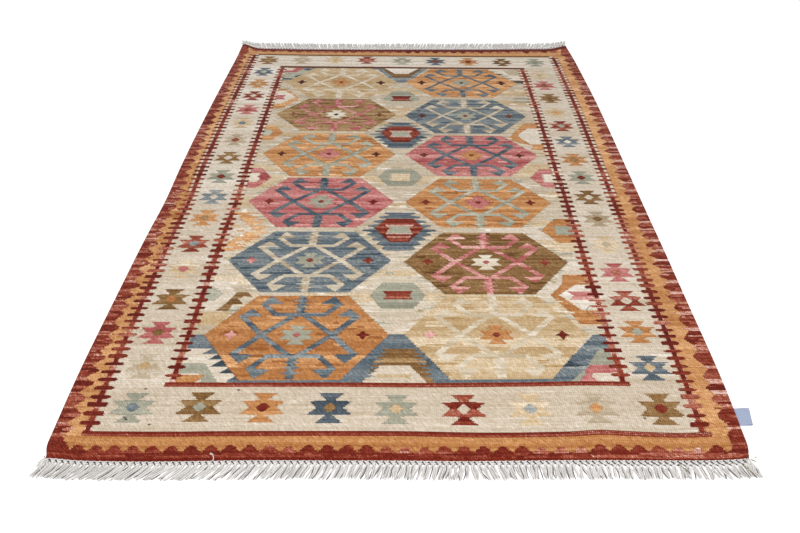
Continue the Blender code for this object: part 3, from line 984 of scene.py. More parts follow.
    def draw_comb(
        self, x_near: float, x_far: float, low: float, high: float, left: float, right: float, pitch: float
    ) -> None:
        """One comb: a spine along the rug, and bars across it.

        Args:
            x_near: The spine's place across the rug at its near end.
            x_far: The same at its far end.
            low: Where it starts.
            high: Where it stops.
            left: How far its bars reach to the left of the spine's middle.
            right: How far they reach to its right.
            pitch: From one bar to the next.
        """
        chart, luck = self.chart, self.chart.luck
        half = 0.0064
        halo, pale = Lots(3, 10, 0.75, 0.88, 1.0), Lots(20, 80, 0.42, 0.5, 0.58)
        layers = ((0.011, 1.1, WHITE, pale), (0.0025, low, RED, halo), (0.0, low, RED, COMB_LOTS))
        for extra, start, yarn, look in layers:
            x = x_near + (x_far - x_near) * (start - low) / (high - low)
            wide = half + extra
            spine = [(x - wide, start), (x + wide, start), (x_far + wide, high), (x_far - wide, high)]
            chart.fill(spine, yarn, look, 1)
        y = low + pitch * 0.6
        faded, row_height = 0.1, 0.0025
        while y < high - 0.01:
            x = x_near + (x_far - x_near) * (y - low) / (high - low)
            if luck.random() < 0.4:
                faded = luck.choice(COMB_LOTS.fades)
            rows = int(luck.integers(4, 7))
            for row in range(rows):
                short = 0.0 if 0 < row < rows - 1 else luck.uniform(0.001, 0.006)
                sway = luck.uniform(-0.001, 0.001)
                bar = (x + left + short + sway, x + right - short + sway)
                chart.band(*bar, y, y + row_height, RED, faded + luck.normal(0, 0.06))
                y += row_height
            y += pitch * luck.uniform(0.95, 1.05) - row_height * rows

    def stars(self) -> Iterable[Star]:
        """The stars of the cream border: the near row, both sides from the near end, and the far row."""
        # Their places in millimetres, their yarns and how faded those are
        looks = (
            (-675, 152, SAGE, BLUE, 0.5, 0.5), (-505.5, 153.5, OLIVE, SAGE, 0.42, 0.45),
            (-344, 152, ORANGE, RED, 0.5, 0.2), (-173.5, 150.5, NAVY, OLIVE, 0.45, 0.6),
            (-5, 147.5, SAGE, SAND, 0.5, 0.45), (166.5, 147.5, RED, CREAM, 0.33, 0.4),
            (336, 148, SAND, BLUE, 0.62, 0.9), (503, 147.5, TAUPE, ORANGE, 0.48, 0.65),
            (667, 149, OLIVE, RED, 0.62, 0.3),
            (-683, 288, TAUPE, SAND, 0.6, 0.3), (-683, 410.5, PINK, OLIVE, 0.34, 0.4),
            (-683, 546.5, OLIVE, ORANGE, 0.4, 0.4), (-683, 684, SAND, PINK, 0.6, 0.5),
            (-683, 810.5, RED, BLUE, 0.48, 0.7), (-683, 952, ORANGE, OLIVE, 0.6, 0.75),
            (-683, 1077, BLUE, CREAM, 0.6, 0.4), (-683, 1209.5, SAGE, RED, 0.5, 0.3),
            (-683, 1341, OLIVE, CREAM, 0.56, 0.5), (-683, 1478.5, TAUPE, RED, 0.45, 0.5),
            (-683, 1619, SAND, BLUE, 0.62, 0.6), (-683, 1740, PINK, RED, 0.58, 0.45),
            (-683, 1872.5, RED, CREAM, 0.38, 0.6), (-683, 1996, ORANGE, SAND, 0.58, 0.5),
            (-683, 2123.5, NAVY, SAGE, 0.64, 0.8),
            (None, 282.5, NAVY, SAND, 0.64, 0.55), (None, 416, ORANGE, SAGE, 0.53, 0.55),
            (None, 544, RED, CREAM, 0.48, 0.45), (None, 674, PINK, RED, 0.44, 0.6), (None, 815, SAND, TAUPE, 0.68, 0.6),
            (None, 956, TAUPE, OLIVE, 0.35, 0.4), (None, 1088.5, OLIVE, CREAM, 0.45, 0.6),
            (None, 1219, SAGE, RED, 0.45, 0.15), (None, 1347.5, ORANGE, OLIVE, 0.45, 0.65),
            (None, 1485.5, BLUE, CREAM, 0.5, 0.6), (None, 1615.5, RED, SAGE, 0.3, 0.5),
            (None, 1734.5, SAND, ORANGE, 0.66, 0.7), (None, 1868.5, OLIVE, OLIVE, 0.55, 0.35),
            (None, 2000, PINK, OLIVE, 0.42, 0.4), (None, 2110, SAND, TAUPE, 0.6, 0.45),
            (-684, 2254.5, OLIVE, OLIVE, 0.6, 0.75), (-516.5, 2263.5, TAUPE, CREAM, 0.5, 0.4),
            (-349, 2265, SAND, SAND, 0.6, 0.45), (-189.5, 2268, RED, RED, 0.36, 0.75),
            (-13, 2260.5, SAGE, CREAM, 0.52, 0.3), (153, 2257.5, NAVY, RED, 0.55, 0.4),
            (316.5, 2256, ORANGE, RED, 0.48, 0.2), (483.5, 2253, OLIVE, TAUPE, 0.3, 0.5),
            (647.5, 2251.5, SAGE, SAGE, 0.45, 0.15),
        )
        for x, y, *look in looks:
            across = np.interp(y / 1000, *self.right_stars) if x is None else x / 1000
            yield Star(float(across), y / 1000, *look)

    def draw_star(self, star: Star) -> None:
        """One border star: two wings between two small triangles, and a diamond at its heart."""
        levels = mm(-47, 34, -24, 9, -22.5, 57, -1, 35, 1, 35, 20, 55, 22.5, 10, 46, 32)
        size = 1.0 if star.y < 0.2 else 0.94
        spots = [(star.y + rise * size, half * size) for rise, half in levels]
        change = 0.24 if star.yarn == RED else 0.1
        lots = Lots(8, 24, star.faded - change / 2, star.faded, star.faded + change)
        self.chart.spindle(star.x, spots, star.yarn, lots)
        heart = ((star.y - 0.014, 0.004), (star.y, 0.018), (star.y + 0.014, 0.004))
        self.chart.spindle(star.x, heart, star.heart, star.heart_faded, step=1)

    def draw_flecks(self) -> None:
        """Short dark ends of yarn that show through the cream."""
        spots = mm(-663, 209, -691, 121, -684, 116, -623, 99, 614, 120, -420, 208)
        for x, y in spots:
            self.chart.band(x, x + 0.0075, y, y + 0.0025, COAL, 0.6)
            self.chart.band(x + 0.0025, x + 0.0075, y - 0.0025, y, COAL, 0.8)


# ---------------- the finishes

# Settings of a mix of two colours: its share is socket 0 and they are 6 and 7
COLOURS = {"output": 2, "data_type": "RGBA"}


@dataclass(frozen=True)
class KilimWool:
    """Weft-faced flat-woven wool: hard-spun, matt and a little hairy, ribbed along its hidden warp."""

    # The warp ribs are 2.6 mm apart and the wefts 0.8 mm, too fine to show in the render, so both are coarser
    rib: float = 0.005
    weft: float = 0.0025
    # Hairs of the wool, 1.5 mm patches
    hair: float = 0.0015
    roughness: float = 0.94
    sheen: float = 0.06

    def build(self, cells: int) -> Material:
        """Makes the material, for faces that show this many stitches across and along."""
        material, tree = new_material("flat_woven_wool")
        node = partial(add_node, tree)
        places = [node("Math", (place, float(cells)), operation="MULTIPLY") for place in map_places(tree, "stitch")]
        past_column, past_row = [
            [node("Math", (place, float(k)), operation="GREATER_THAN") for k in range(1, cells)] for place in places
        ]
        colour = None
        for row in range(cells):
            in_row = None
            for column in range(cells):
                own = node("Attribute", output="Color", attribute_name=stitch_name(row, column))
                in_row = node("Mix", {0: past_column[column - 1], 6: in_row, 7: own}, **COLOURS) if column else own
            colour = node("Mix", {0: past_row[row - 1], 6: colour, 7: in_row}, **COLOURS) if row else in_row
        height = self.weave_height(tree)
        # Painted shade: the colour is darkened where the weave's height is low, between ribs and beads and among the
        # hairs
        grey = node("CombineXYZ", [node("Math", (height, 0.3, 0.84), operation="MULTIPLY_ADD")] * 3)
        weave_shaded_colour = node("Mix", {0: 1.0, 6: colour, 7: grey}, blend_type="MULTIPLY", **COLOURS)
        looks = {"Roughness": self.roughness, "Specular IOR Level": 0.12, "Sheen Weight": self.sheen}
        finish_material(tree, weave_shaded_colour, (0.55, 0.0009, height), {**looks, "Sheen Roughness": 0.6})
        return material

    def weave_height(self, tree: Tree) -> Socket:
        """Height of the weave from 0 to 1: beads of weft over each rib of warp, and loose hairs."""
        node = partial(add_node, tree, "Math")
        across, along = map_places(tree, "weave")
        ribs = node((across, self.rib), operation="DIVIDE")
        rounded = node((node([ribs], operation="FRACT"), math.pi), operation="MULTIPLY")
        rounded = node([rounded], operation="SINE")
        parity = node((node([ribs], operation="FLOOR"), 0.5), operation="MULTIPLY")
        parity = node([parity], operation="FRACT")
        beads = ridges(tree, node((node((along, self.weft), operation="DIVIDE"), parity), operation="ADD"))
        woven = node((rounded, 0.35, node((beads, 0.25), operation="MULTIPLY")), operation="MULTIPLY_ADD")
        return node((object_noise(tree, 1 / self.hair), 0.4, woven), operation="MULTIPLY_ADD")


@dataclass(frozen=True)
class WarpCotton:
    """Undyed plied cotton: matt off-white cord whose plies show as slanting ridges."""

    pale: str = "#efebe7"
    grey: str = "#928c87"
    # The shade between two knots, where no light comes up through the yarn
    dark: str = "#393634"
    # Painted shade low in the pile, up to 4 mm off the floor
    deep: float = 0.004
    # One turn of the ply each 5 mm, three plies
    turn: float = 0.005
    plies: int = 3

    def build(self) -> Material:
        """Makes the material."""
        material, tree = new_material("undyed_cotton_warp")
        node = partial(add_node, tree)
        around, along = map_places(tree, "ply")
        turns = node("Math", (along, self.turn), operation="DIVIDE")
        turns = node("Math", (around, float(self.plies), turns), operation="MULTIPLY_ADD")
        ridge = node("Math", (ridges(tree, turns), 0.6), operation="MULTIPLY")
        height = node("Math", (object_noise(tree, 700.0), 0.4, ridge), operation="MULTIPLY_ADD")
        tone = node("Attribute", output="Fac", attribute_name="tone")
        rise = node("SeparateXYZ", [node("TexCoord", output="Object")], 2)
        above = node("Math", (node("Math", (rise, self.deep), operation="DIVIDE"), 1.0), operation="MINIMUM")
        above = node("Math", (above, 0.9), operation="MULTIPLY")
        # Painted light and shade: the ply ridges and hairs lighter and strands low in the pile darker, over each
        # strand's own tone
        lit = node("Math", (height, 0.25, node("Math", (tone, 0.5), operation="MULTIPLY")), operation="MULTIPLY_ADD")
        shade = node("Math", (lit, node("Math", (above, 0.45), operation="SUBTRACT")), operation="ADD")
        colour = node("Mix", {0: shade, 6: paint(self.grey), 7: paint(self.pale)}, **COLOURS)
        # A strand of negative tone is drawn towards the dark colour: painted shade for strands that lie in the dark
        # between others
        open_share = node("Math", (tone, 1.0), operation="ADD")
        colour = node("Mix", {0: open_share, 6: paint(self.dark), 7: colour}, **COLOURS)
        looks = {"Roughness": 0.9, "Specular IOR Level": 0.2, "Sheen Weight": 0.08}
        finish_material(tree, colour, (0.6, 0.0006, height), looks)
        return material


@dataclass(frozen=True)
class LabelRibbon:
    """Woven polyester satin ribbon: pale blue, fine ribs across it and a soft sheen."""

    blue: str = "#b1bbd2"
    slub_and_rib_shade: str = "#8d9bbb"
    # Ribs 0.4 mm apart, drawn 0.8 mm apart
    rib: float = 0.0008

    def build(self) -> Material:
        """Makes the material."""
        material, tree = new_material("satin_ribbon")
        node = partial(add_node, tree)
        ridge = ridges(tree, node("Math", (map_places(tree, "ribbon")[1], self.rib), operation="DIVIDE"))
        slub = object_noise(tree, 260.0)
        # Slubs are random tone; the ribs lighter than the hollows between them are painted light and shade
        mixed = node("Math", (slub, 0.6, node("Math", (ridge, 0.4), operation="MULTIPLY")), operation="MULTIPLY_ADD")
        colour = node("Mix", {0: mixed, 6: paint(self.slub_and_rib_shade), 7: paint(self.blue)}, **COLOURS)
        finish_material(tree, colour, (0.3, 0.0002, ridge), {"Roughness": 0.45, "Sheen Weight": 0.25})
        return material


@dataclass(frozen=True)
class TailWool:
    """A loose end of weft wool: one dye, hairy and matt."""

    name: str
    dye: Dye

    def build(self) -> Material:
        """Makes the material."""
        material, tree = new_material(self.name)
        # Hairs of the wool, 2 mm patches
        hair = object_noise(tree, 500.0)
        colour = add_node(tree, "Mix", {0: hair, 6: paint(self.dye.full), 7: paint(self.dye.faded)}, **COLOURS)
        finish_material(tree, colour, (0.5, 0.0004, hair), {"Roughness": 0.95})
        return material


# ---------------- meshes


def stitch_name(row: int, column: int) -> str:
    """Name of the attribute that colours one stitch of every face."""
    return f"stitch_{row}{column}"


def deselect_all() -> None:
    """Leaves nothing selected and nothing active."""
    for thing in bpy.context.selected_objects:
        thing.select_set(False)
    bpy.context.view_layer.objects.active = None


def new_piece(name: str, points: Array, faces: Faces) -> Piece:
    """Makes an object of points and of faces, counter-clockwise from outside, smooth all over."""
    mesh = bpy.data.meshes.new(name)
    mesh.from_pydata(points.tolist(), [], faces)
    mesh.polygons.foreach_set("use_smooth", np.ones(len(mesh.polygons), dtype=bool))
    piece = bpy.data.objects.new(name, mesh)
    bpy.context.scene.collection.objects.link(piece)
    return piece


def rightwards(run: Array) -> Array:
    """Level directions to the right of a run, at each of its points."""
    level = run * (1, 1, 0)
    level /= np.maximum(np.linalg.norm(level, axis=1, keepdims=True), 1e-9)
    return np.stack([level[:, 1], -level[:, 0], np.zeros(len(level))], axis=1)


def quads(grid: Array) -> Array:
    """The four corners of every square of a grid of point numbers."""
    return np.stack([grid[:-1, :-1], grid[:-1, 1:], grid[1:, 1:], grid[1:, :-1]], axis=-1).reshape(-1, 4)


def add_map(mesh: Mesh, name: str, places: Array) -> None:
    """Gives a mesh a UV map with one place for each corner."""
    layer = mesh.uv_layers.new(name=name, do_init=False)
    layer.uv.foreach_set("vector", np.ascontiguousarray(places, dtype=np.float32).ravel())


def settle(piece: Piece, finish: Material, slot: str, *nodes: str) -> None:
    """Gives a piece its finish and its body, and hides the nodes that it stands for."""
    piece.data.materials.append(finish)
    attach(piece, BODY)
    if nodes:
        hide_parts(*nodes)
    log.info("%s: %d faces", piece.name, len(piece.data.polygons))


@dataclass
class Cloth:
    """The woven panel: face and back from the same chart, joined by a half-round edge."""

    shape: ClothShape
    face_side: float = 0.01
    face_columns: int = 170
    face_rows: int = 240
    cells: int = 4
    rim_rings: int = 3
    ripple: float = 0.00022
    seed: int = 5
    # On the bake's map: the face's size and place, and the back's beside it
    face_bake: tuple[Point, Point] = ((0.69, 0.98), (0.01, 0.01))
    back_bake: tuple[Point, Point] = ((0.27, 0.98), (0.72, 0.01))

    def build(self) -> Piece:
        """Makes the cloth, dressed."""
        side = self.face_side
        chart = Chart(self.face_columns * side, self.face_rows * side, side / self.cells, self.seed)
        Pattern(chart).draw()
        log.info("chart: %d by %d stitches, %d skeins", chart.columns, chart.rows, len(chart.fades))
        points, faces, owner, stitch, weave, bake = self.surface()
        cloth = new_piece("kilim_cloth", points, faces)
        add_map(cloth.data, "stitch", stitch)
        add_map(cloth.data, "weave", weave)
        add_map(cloth.data, "OFBake", bake)
        self.colour(cloth.data, chart, owner)
        settle(cloth, KilimWool().build(self.cells), "kilim_wool", "cloth")
        return cloth

    def colour(self, mesh: Mesh, chart: Chart, owner: Array) -> None:
        """Carries the chart's colours on the faces, each of which shows the square that owns it."""
        squares = chart.shades().reshape(self.face_rows, self.cells, self.face_columns, self.cells, 3)
        squares = squares.transpose(1, 3, 0, 2, 4).reshape(self.cells, self.cells, -1, 3)
        for row in range(self.cells):
            for column in range(self.cells):
                attribute = mesh.attributes.new(stitch_name(row, column), "FLOAT_COLOR", "FACE")
                shades = np.ones((len(owner), 4), dtype=np.float32)
                shades[:, :3] = squares[row, column][owner]
                attribute.data.foreach_set("color", shades.ravel())

    def surface(self) -> tuple[Array, Faces, Array, Array, Array, Array]:
        """Works out the whole surface.

        Returns:
            Its points, its faces, the chart square of each face, and for each corner the place in the square,
            on the flat rug and on the bake's map.
        """
        columns, rows, shape = self.face_columns, self.face_rows, self.shape
        radius = shape.thickness / 2
        inset = np.array([1 - radius / (shape.width / 2), 1 - radius / (shape.length / 2)])
        along, across = np.meshgrid(np.linspace(-1, 1, rows + 1), np.linspace(-1, 1, columns + 1), indexing="ij")
        under = shape.woven(across * inset[0], along * inset[1]).reshape(-1, 3)
        over = under.copy()
        over[:, 2] += shape.thickness + self.ripples(under)
        grid = np.arange((rows + 1) * (columns + 1)).reshape(rows + 1, columns + 1)
        square = np.arange(rows * columns).reshape(rows, columns)
        rim = np.concatenate([grid[0], grid[1:, -1], grid[-1, -2::-1], grid[-2:0:-1, 0]])
        rim_square = np.concatenate([square[0], square[:, -1], square[-1, ::-1], square[::-1, 0]])
        flat = (np.stack([across.ravel(), along.ravel()], axis=1) + 1) / 2

        outward = rightwards(np.roll(under[rim], -1, axis=0) - np.roll(under[rim], 1, axis=0))
        rings = [over[rim]]
        for ring in range(1, self.rim_rings + 1):
            turn = math.pi * ring / (self.rim_rings + 1)
            place = under[rim] + outward * radius * math.sin(turn)
            place[:, 2] += radius * (1 + math.cos(turn))
            rings.append(place)
        count = len(grid.ravel())
        points = np.concatenate([over, under, *rings[1:]])
        between = [2 * count + len(rim) * ring + np.arange(len(rim)) for ring in range(self.rim_rings)]
        starts = [rim, *between, rim + count]

        corners = quads(grid)
        unit = np.array([(0, 0), (1, 0), (1, 1), (0, 1)], dtype=float)
        faces = [corners, corners[:, ::-1] + count]
        owners = [square.ravel(), square.ravel()]
        stitch = [np.tile(unit, (len(corners), 1)), np.tile(unit[::-1], (len(corners), 1))]
        size = np.array([shape.width, shape.length])
        places = flat[corners].reshape(-1, 2)
        back = flat[corners[:, ::-1]].reshape(-1, 2)
        weave = [places * size, back * size]
        (face_size, face_place), (back_size, back_place) = self.face_bake, self.back_bake
        bake = [places * face_size + face_place, back * back_size + back_place]

        after = np.roll(np.arange(len(rim)), -1)
        rim_flat = flat[rim]
        spot, inner = rim_flat * (columns, rows), np.stack([rim_square % columns, rim_square // columns], axis=1)
        here, there = spot - inner, spot[after] - inner
        own = np.stack([here, here, there, there], axis=1).reshape(-1, 2).clip(0, 1)
        for ring in range(self.rim_rings + 1):
            top, low = starts[ring], starts[ring + 1]
            faces.append(np.stack([top, low, low[after], top[after]], axis=1))
            owners.append(rim_square)
            stitch.append(own)
            arcs = [radius * math.pi / (self.rim_rings + 1) * (ring + k) for k in (0, 1)]
            inward, out = (rim_flat + outward[:, :2] / size * arc for arc in arcs)
            sheet = np.stack([inward, out, out[after], inward[after]], axis=1).reshape(-1, 2)
            weave.append(sheet * size)
            bake.append(sheet * face_size + face_place)
        face_list = [tuple(face) for face in np.concatenate(faces).tolist()]
        nudge = 0.002
        stitch_map = np.concatenate(stitch) * (1 - 2 * nudge) + nudge
        return points, face_list, np.concatenate(owners), stitch_map, np.concatenate(weave), np.concatenate(bake)

    def ripples(self, points: Array) -> Array:
        """The slight cockling of a hand-woven face, never below the flat."""
        luck = np.random.default_rng(self.seed)
        height = np.zeros(len(points))
        for _ in range(14):
            heading = luck.uniform(0, math.pi)
            wave = luck.uniform(20, 90)
            phase = luck.uniform(0, 2 * math.pi)
            height += np.sin(wave * (points[:, 0] * math.cos(heading) + points[:, 1] * math.sin(heading)) + phase)
        return self.ripple * (1 + height / math.sqrt(14))


# ---------------- fringes


@dataclass
class Form:
    """A shape modelled once, to be carried along many paths: Y is its length, from 0 to 1."""

    points: Array
    faces: Faces
    wraps: Array

    @classmethod
    def take(cls, model: Piece) -> "Form":
        """Turns the faces of an object in edit mode outwards, reads it and removes it."""
        bpy.ops.mesh.select_all(action="SELECT")
        bpy.ops.mesh.normals_make_consistent(inside=False)
        bpy.ops.object.mode_set(mode="OBJECT")
        mesh = model.data
        points = np.array([vertex.co[:] for vertex in mesh.vertices])
        faces = [tuple(polygon.vertices) for polygon in mesh.polygons]
        wraps = []
        for face in faces:
            centre = points[list(face)].mean(axis=0)
            middle = math.atan2(centre[2], centre[0])
            for corner in face:
                x, y, z = points[corner]
                turn = (math.atan2(z, x) - middle + math.pi) % (2 * math.pi) - math.pi
                wraps.append(((middle + turn) / (2 * math.pi), y))
        bpy.data.objects.remove(model, do_unlink=True)
        return cls(points, faces, np.array(wraps))


def model_strand(sides: int, segments: int) -> Form:
    """Models one strand of unit radius: a ring drawn out along Y, its tip drawn to a worn point."""
    deselect_all()
    ring = {"vertices": sides, "radius": 1.0, "fill_type": "NGON", "rotation": (math.radians(90), 0, 0)}
    bpy.ops.mesh.primitive_circle_add(**ring)
    strand = bpy.context.object
    bpy.ops.object.transform_apply(location=True, rotation=True, scale=True)
    bpy.ops.object.mode_set(mode="EDIT")
    bpy.ops.mesh.select_all(action="SELECT")
    for segment in range(segments):
        bpy.ops.mesh.extrude_region_move(TRANSFORM_OT_translate={"value": (0, 1 / segments, 0)})
        if segment >= segments - 2:
            bpy.ops.transform.resize(value=(0.72, 1.0, 0.72))
    return Form.take(strand)


def model_knot() -> Form:
    """Models one knot: a ball drawn out sideways, with its middle turn standing proud."""
    deselect_all()
    ball = {"segments": 8, "ring_count": 6, "radius": 1.0, "rotation": (math.radians(90), 0, 0)}
    bpy.ops.mesh.primitive_uv_sphere_add(**ball)
    knot = bpy.context.object
    bpy.ops.object.transform_apply(location=True, rotation=True, scale=True)
    bpy.ops.object.mode_set(mode="EDIT")
    bpy.ops.mesh.select_all(action="DESELECT")
    bpy.ops.object.mode_set(mode="OBJECT")
    for vertex in knot.data.vertices:
        vertex.select = abs(vertex.co.y) < 0.3
    bpy.ops.object.mode_set(mode="EDIT")
    bpy.ops.transform.resize(value=(1.12, 1.9, 1.12))
    return Form.take(knot)


class Gathering:
    """Carried copies of forms in one mesh, with a ply map and a tone for each copy."""

    def __init__(self) -> None:
        """Starts with nothing."""
        self.points: list[Array] = []
        self.faces: Faces = []
        self.wraps: list[Array] = []
        self.tones: list[float] = []
        self.count = 0

    def add(self, form: Form, points: Array, length: float, tone: float) -> None:
        """Adds one copy of a form: its real length is for the ply map, its tone from grey, 0, to pale, 1."""
        self.points.append(points)
        self.faces += [tuple(corner + self.count for corner in face) for face in form.faces]
        self.wraps.append(form.wraps * (1.0, length))
        self.tones += [tone] * len(form.faces)
        self.count += len(points)

    def make(self, name: str) -> Piece:
        """Makes the piece."""
        piece = new_piece(name, np.concatenate(self.points), self.faces)
        add_map(piece.data, "ply", np.concatenate(self.wraps))
        tone = piece.data.attributes.new("tone", "FLOAT", "FACE")
        tone.data.foreach_set("value", np.array(self.tones, dtype=np.float32))
        return piece


Path3 = Callable[[Array], Array]


def carried(form: Form, path: Path3, radius: float, flatness: float = 1.0) -> Array:
    """Carries a form along a path.

    Args:
        form: The form, along Y from 0 to 1.
        path: Gives one row of X, Y and Z for each share along it.
        radius: The radius of its cross-section.
        flatness: Its height as a share of its width.

    Returns:
        The form's points in place.
    """
    share = form.points[:, 1]
    here = path(share)
    side = rightwards(path(share + 0.01) - path(share - 0.01))
    up = np.array([0, 0, flatness])
    return here + radius * (form.points[:, :1] * side + form.points[:, 2:] * up)


def straight(form: Form, start: Array, stop: Array, radius: float) -> Array:
    """Carries a form from one point straight to another."""
    return carried(form, lambda share: start + (stop - start) * share[:, None], radius)


@dataclass(frozen=True)
class Wisp:
    """Frayed strands at a corner: where they start, their heading in degrees from outward, and their length."""

    x: float
    out: float
    heading: float
    fan: float
    length: float
    curl: float
    strands: int


@dataclass
class Fringe:
    """The warp ends of one end: a twined line, a row of knots and loose plied strands."""

    shape: ClothShape
    name: str
    node: str
    end: End
    length: float
    # Places across the rug, each with the sideways run of a strand's tip there
    leans: tuple[Point, ...]
    wisps: tuple[Wisp, ...]
    seed: int
    # Where the second, staggered row of knots runs, from and to
    netted: tuple[float, float]
    # How pale its strands are, from 0 to 1, and the darker tone of those that lie under them, painted shade between the
    # strands
    paleness: float
    under_shade_tone: float = -0.55
    radius: float = 0.0014
    web: float = 0.0021
    warp_radius: float = 0.0011
    # From the middle of a knot to the middle of a lock, and from one strand of a lock to the next
    lock_apart: float = 0.0018
    strand_apart: float = 0.0011
    web_out: float = 0.0017
    knot_at: float = 0.0095
    knot_half_width: float = 0.0044
    knot_half_length: float = 0.0032
    knot_half_height: float = 0.0029
    net_drop: float = 0.0062
    length_spread: float = 0.08
    stray: float = 0.003
    luck: np.random.Generator = field(init=False)
    gathering: Gathering = field(init=False)

    def __post_init__(self) -> None:
        """Starts the draws and the mesh."""
        self.luck = np.random.default_rng(self.seed)
        self.gathering = Gathering()

    def build(self, strand: Form, short: Form, knot: Form, cotton: Material) -> Piece:
        """Makes the fringe, dressed, of a long strand, one with few segments and a knot."""
        self.add_web(short)
        for number in range(KNOTS):
            place = self.edge(np.array([-1 + (2 * number + 1) / KNOTS]))[0]
            self.add_knot(place, strand, short, knot)
        for wisp in self.wisps:
            self.add_wisp(wisp, strand)
        piece = self.gathering.make(self.name)
        settle(piece, cotton, "warp_cotton", self.node)
        return piece

    def edge(self, across: Array) -> Array:
        """Points of the cloth's edge at this end, at shares of half its width."""
        return self.shape.point(across, np.full(len(across), float(self.end.value)))

    def lean_at(self, x: float) -> float:
        """Sideways run of a strand's tip."""
        return float(np.interp(x, *zip(*self.leans)))

    def tone(self) -> float:
        """How pale the next strand is."""
        return float(np.clip(self.luck.normal(self.paleness, 0.26), 0.0, 1.0))

    def add_web(self, short: Form) -> None:
        """The twined line of cotton that closes the weaving: two cords that cross at each half knot."""
        pitch = 2 / KNOTS
        height = self.shape.thickness * 0.52
        for half in range(2 * KNOTS):
            start, stop = -1 + pitch * (half - 0.1) / 2, -1 + pitch * (half + 1.1) / 2

            def path(share: Array) -> Array:
                """One half turn of the twining."""
                points = self.edge(start + (stop - start) * share)
                points[:, 1] += self.end.value * (self.web_out + 0.0006 * np.sin(math.pi * (share + half % 2)))
                points[:, 2] += height + 0.0008 * np.sin(math.pi * share)
                return points

            self.gathering.add(short, carried(short, path, self.web), 0.008, self.tone() + 0.5)

            def under(share: Array) -> Array:
                """The back of the knots, low behind the gaps between them."""
                points = self.edge(start + (stop - start) * share)
                points[:, 1] += self.end.value * (self.knot_at - 0.001)
                points[:, 2] += 0.0012
                return points

            # The back of the knots takes tone 0, the greyest: painted shade behind the gaps
            self.gathering.add(short, carried(short, under, self.warp_radius), 0.008, 0.0)

    def add_knot(self, place: Array, strand: Form, short: Form, knot: Form) -> None:
        """One knot with the warps that run into it, and the strands that leave it."""
        pitch = CLOTH_WIDTH / KNOTS
        spot = place + (self.luck.normal(0, 0.0004), self.end.value * self.knot_at, 0.0)
        for offset in (-0.38, -0.13, 0.13, 0.38):
            start = place + (offset * pitch, self.end.value * 0.0012, 0.0024)
            stop = spot + (offset * 0.004, 0.0, 0.003)
            self.add_length(short, start, stop, self.warp_radius)
        self.add_ball(knot, spot)
        # The dark gap beside this knot, as a cord of painted shade
        slit = spot + (-pitch / 2, -self.end.value * 0.003, 0.0)
        self.add_gap_shade(short, slit)
        lean = self.lean_at(place[0])
        if self.netted[0] < place[0] < self.netted[1]:
            second = spot + (pitch / 2, self.end.value * self.net_drop, 0.0)
            for side in (-1, 1):
                stop = spot + (side * pitch / 2, self.end.value * self.net_drop, 0.0022)
                self.add_length(short, spot + (side * 0.002, 0.0, 0.0032), stop, 0.0018)
            self.add_gap_shade(short, slit + (pitch / 2, self.end.value * self.net_drop, 0.0))
            self.add_ball(knot, second)
            self.add_strands(second, lean, self.length - self.net_drop, strand)
            return
        self.add_strands(spot, lean, self.length, strand)

    def add_gap_shade(self, short: Form, spot: Array) -> None:
        """A cord coloured near black in the slanting gap between two knots: painted shade standing for the dark gap."""
        reach = np.array([0.0036, self.end.value * 0.0036, 0.0]) * self.luck.uniform(0.8, 1.1)
        points = straight(short, spot - reach + (0, 0, 0.0042), spot + reach + (0, 0, 0.0034), 0.0019)
        self.gathering.add(short, points, 0.01, -self.luck.uniform(0.9, 1.0))

    def add_length(self, short: Form, start: Array, stop: Array, radius: float) -> None:
        """A short straight run of cord from one point to another."""
        length = float(np.linalg.norm(stop - start))
        self.gathering.add(short, straight(short, start, stop, radius), length, self.tone())

    def add_ball(self, knot: Form, spot: Array) -> None:
        """One knot at a spot, turned a little."""
        turn = self.luck.uniform(0.2, 0.6)
        size = np.array([self.knot_half_width, self.knot_half_length, self.knot_half_height])
        size = size * self.luck.uniform(0.9, 1.08)
        local = knot.points * size
        x = local[:, 0] * math.cos(turn) - local[:, 1] * math.sin(turn)
        y = local[:, 0] * math.sin(turn) + local[:, 1] * math.cos(turn)
        points = spot + np.stack([x, y, local[:, 2] + 0.0036], axis=1)
        self.gathering.add(knot, points, 0.006, self.tone() + 0.35)

    def add_strands(self, spot: Array, lean: float, length: float, strand: Form) -> None:
        """The loose strands below one knot: two locks of three, and one strand under them, darkened as painted shade.
        """
        pitch = CLOTH_WIDTH / KNOTS
        for lock in (-1, 0, 1):
            run = lean + self.luck.normal(0, self.stray)
            reach = (length - self.knot_at) * (1 + self.luck.uniform(-1, 1) * self.length_spread)
            fan = lock * pitch * 0.28 * self.luck.uniform(0.7, 1.25) - lock * self.lock_apart
            wave, phase = self.luck.normal(0, 0.0012), self.luck.uniform(0, 2 * math.pi)
            turns = self.luck.uniform(0.5, 1.1)
            for number in (-1, 0, 1) if lock else (0,):
                radius = self.radius * self.luck.uniform(0.88, 1.12)
                rest = radius * 0.95 + (0.0021 if lock and not number else 0.0) + self.luck.uniform(0, 0.0005)
                sideways = lock * self.lock_apart + number * self.strand_apart
                start = spot + (sideways, self.end.value * 0.0012, 0.0)
                apart = number * 1.35 * self.radius - number * self.strand_apart
                own = reach * (1 + self.luck.uniform(-0.05, 0.05))
                loose = self.luck.normal(0, 0.0009)

                def path(share: Array) -> Array:
                    """The strand's run from its knot to its tip."""
                    opened = np.clip(share * 4, 0, 1)
                    x = start[0] + (fan + apart) * opened + run * np.abs(share) ** 1.25
                    x = x + (wave * np.sin(turns * 2 * math.pi * share + phase) + loose * share) * opened
                    y = start[1] + self.end.value * own * share
                    z = rest + (start[2] + 0.0028 - radius) * np.clip(1 - share, 0, 1) ** 2
                    return np.stack([x, y, z], axis=1)

                # The strand under the locks takes the under tone: painted shade
                tone = self.tone() if lock else self.under_shade_tone
                self.gathering.add(strand, carried(strand, path, radius, 0.92), own, tone)

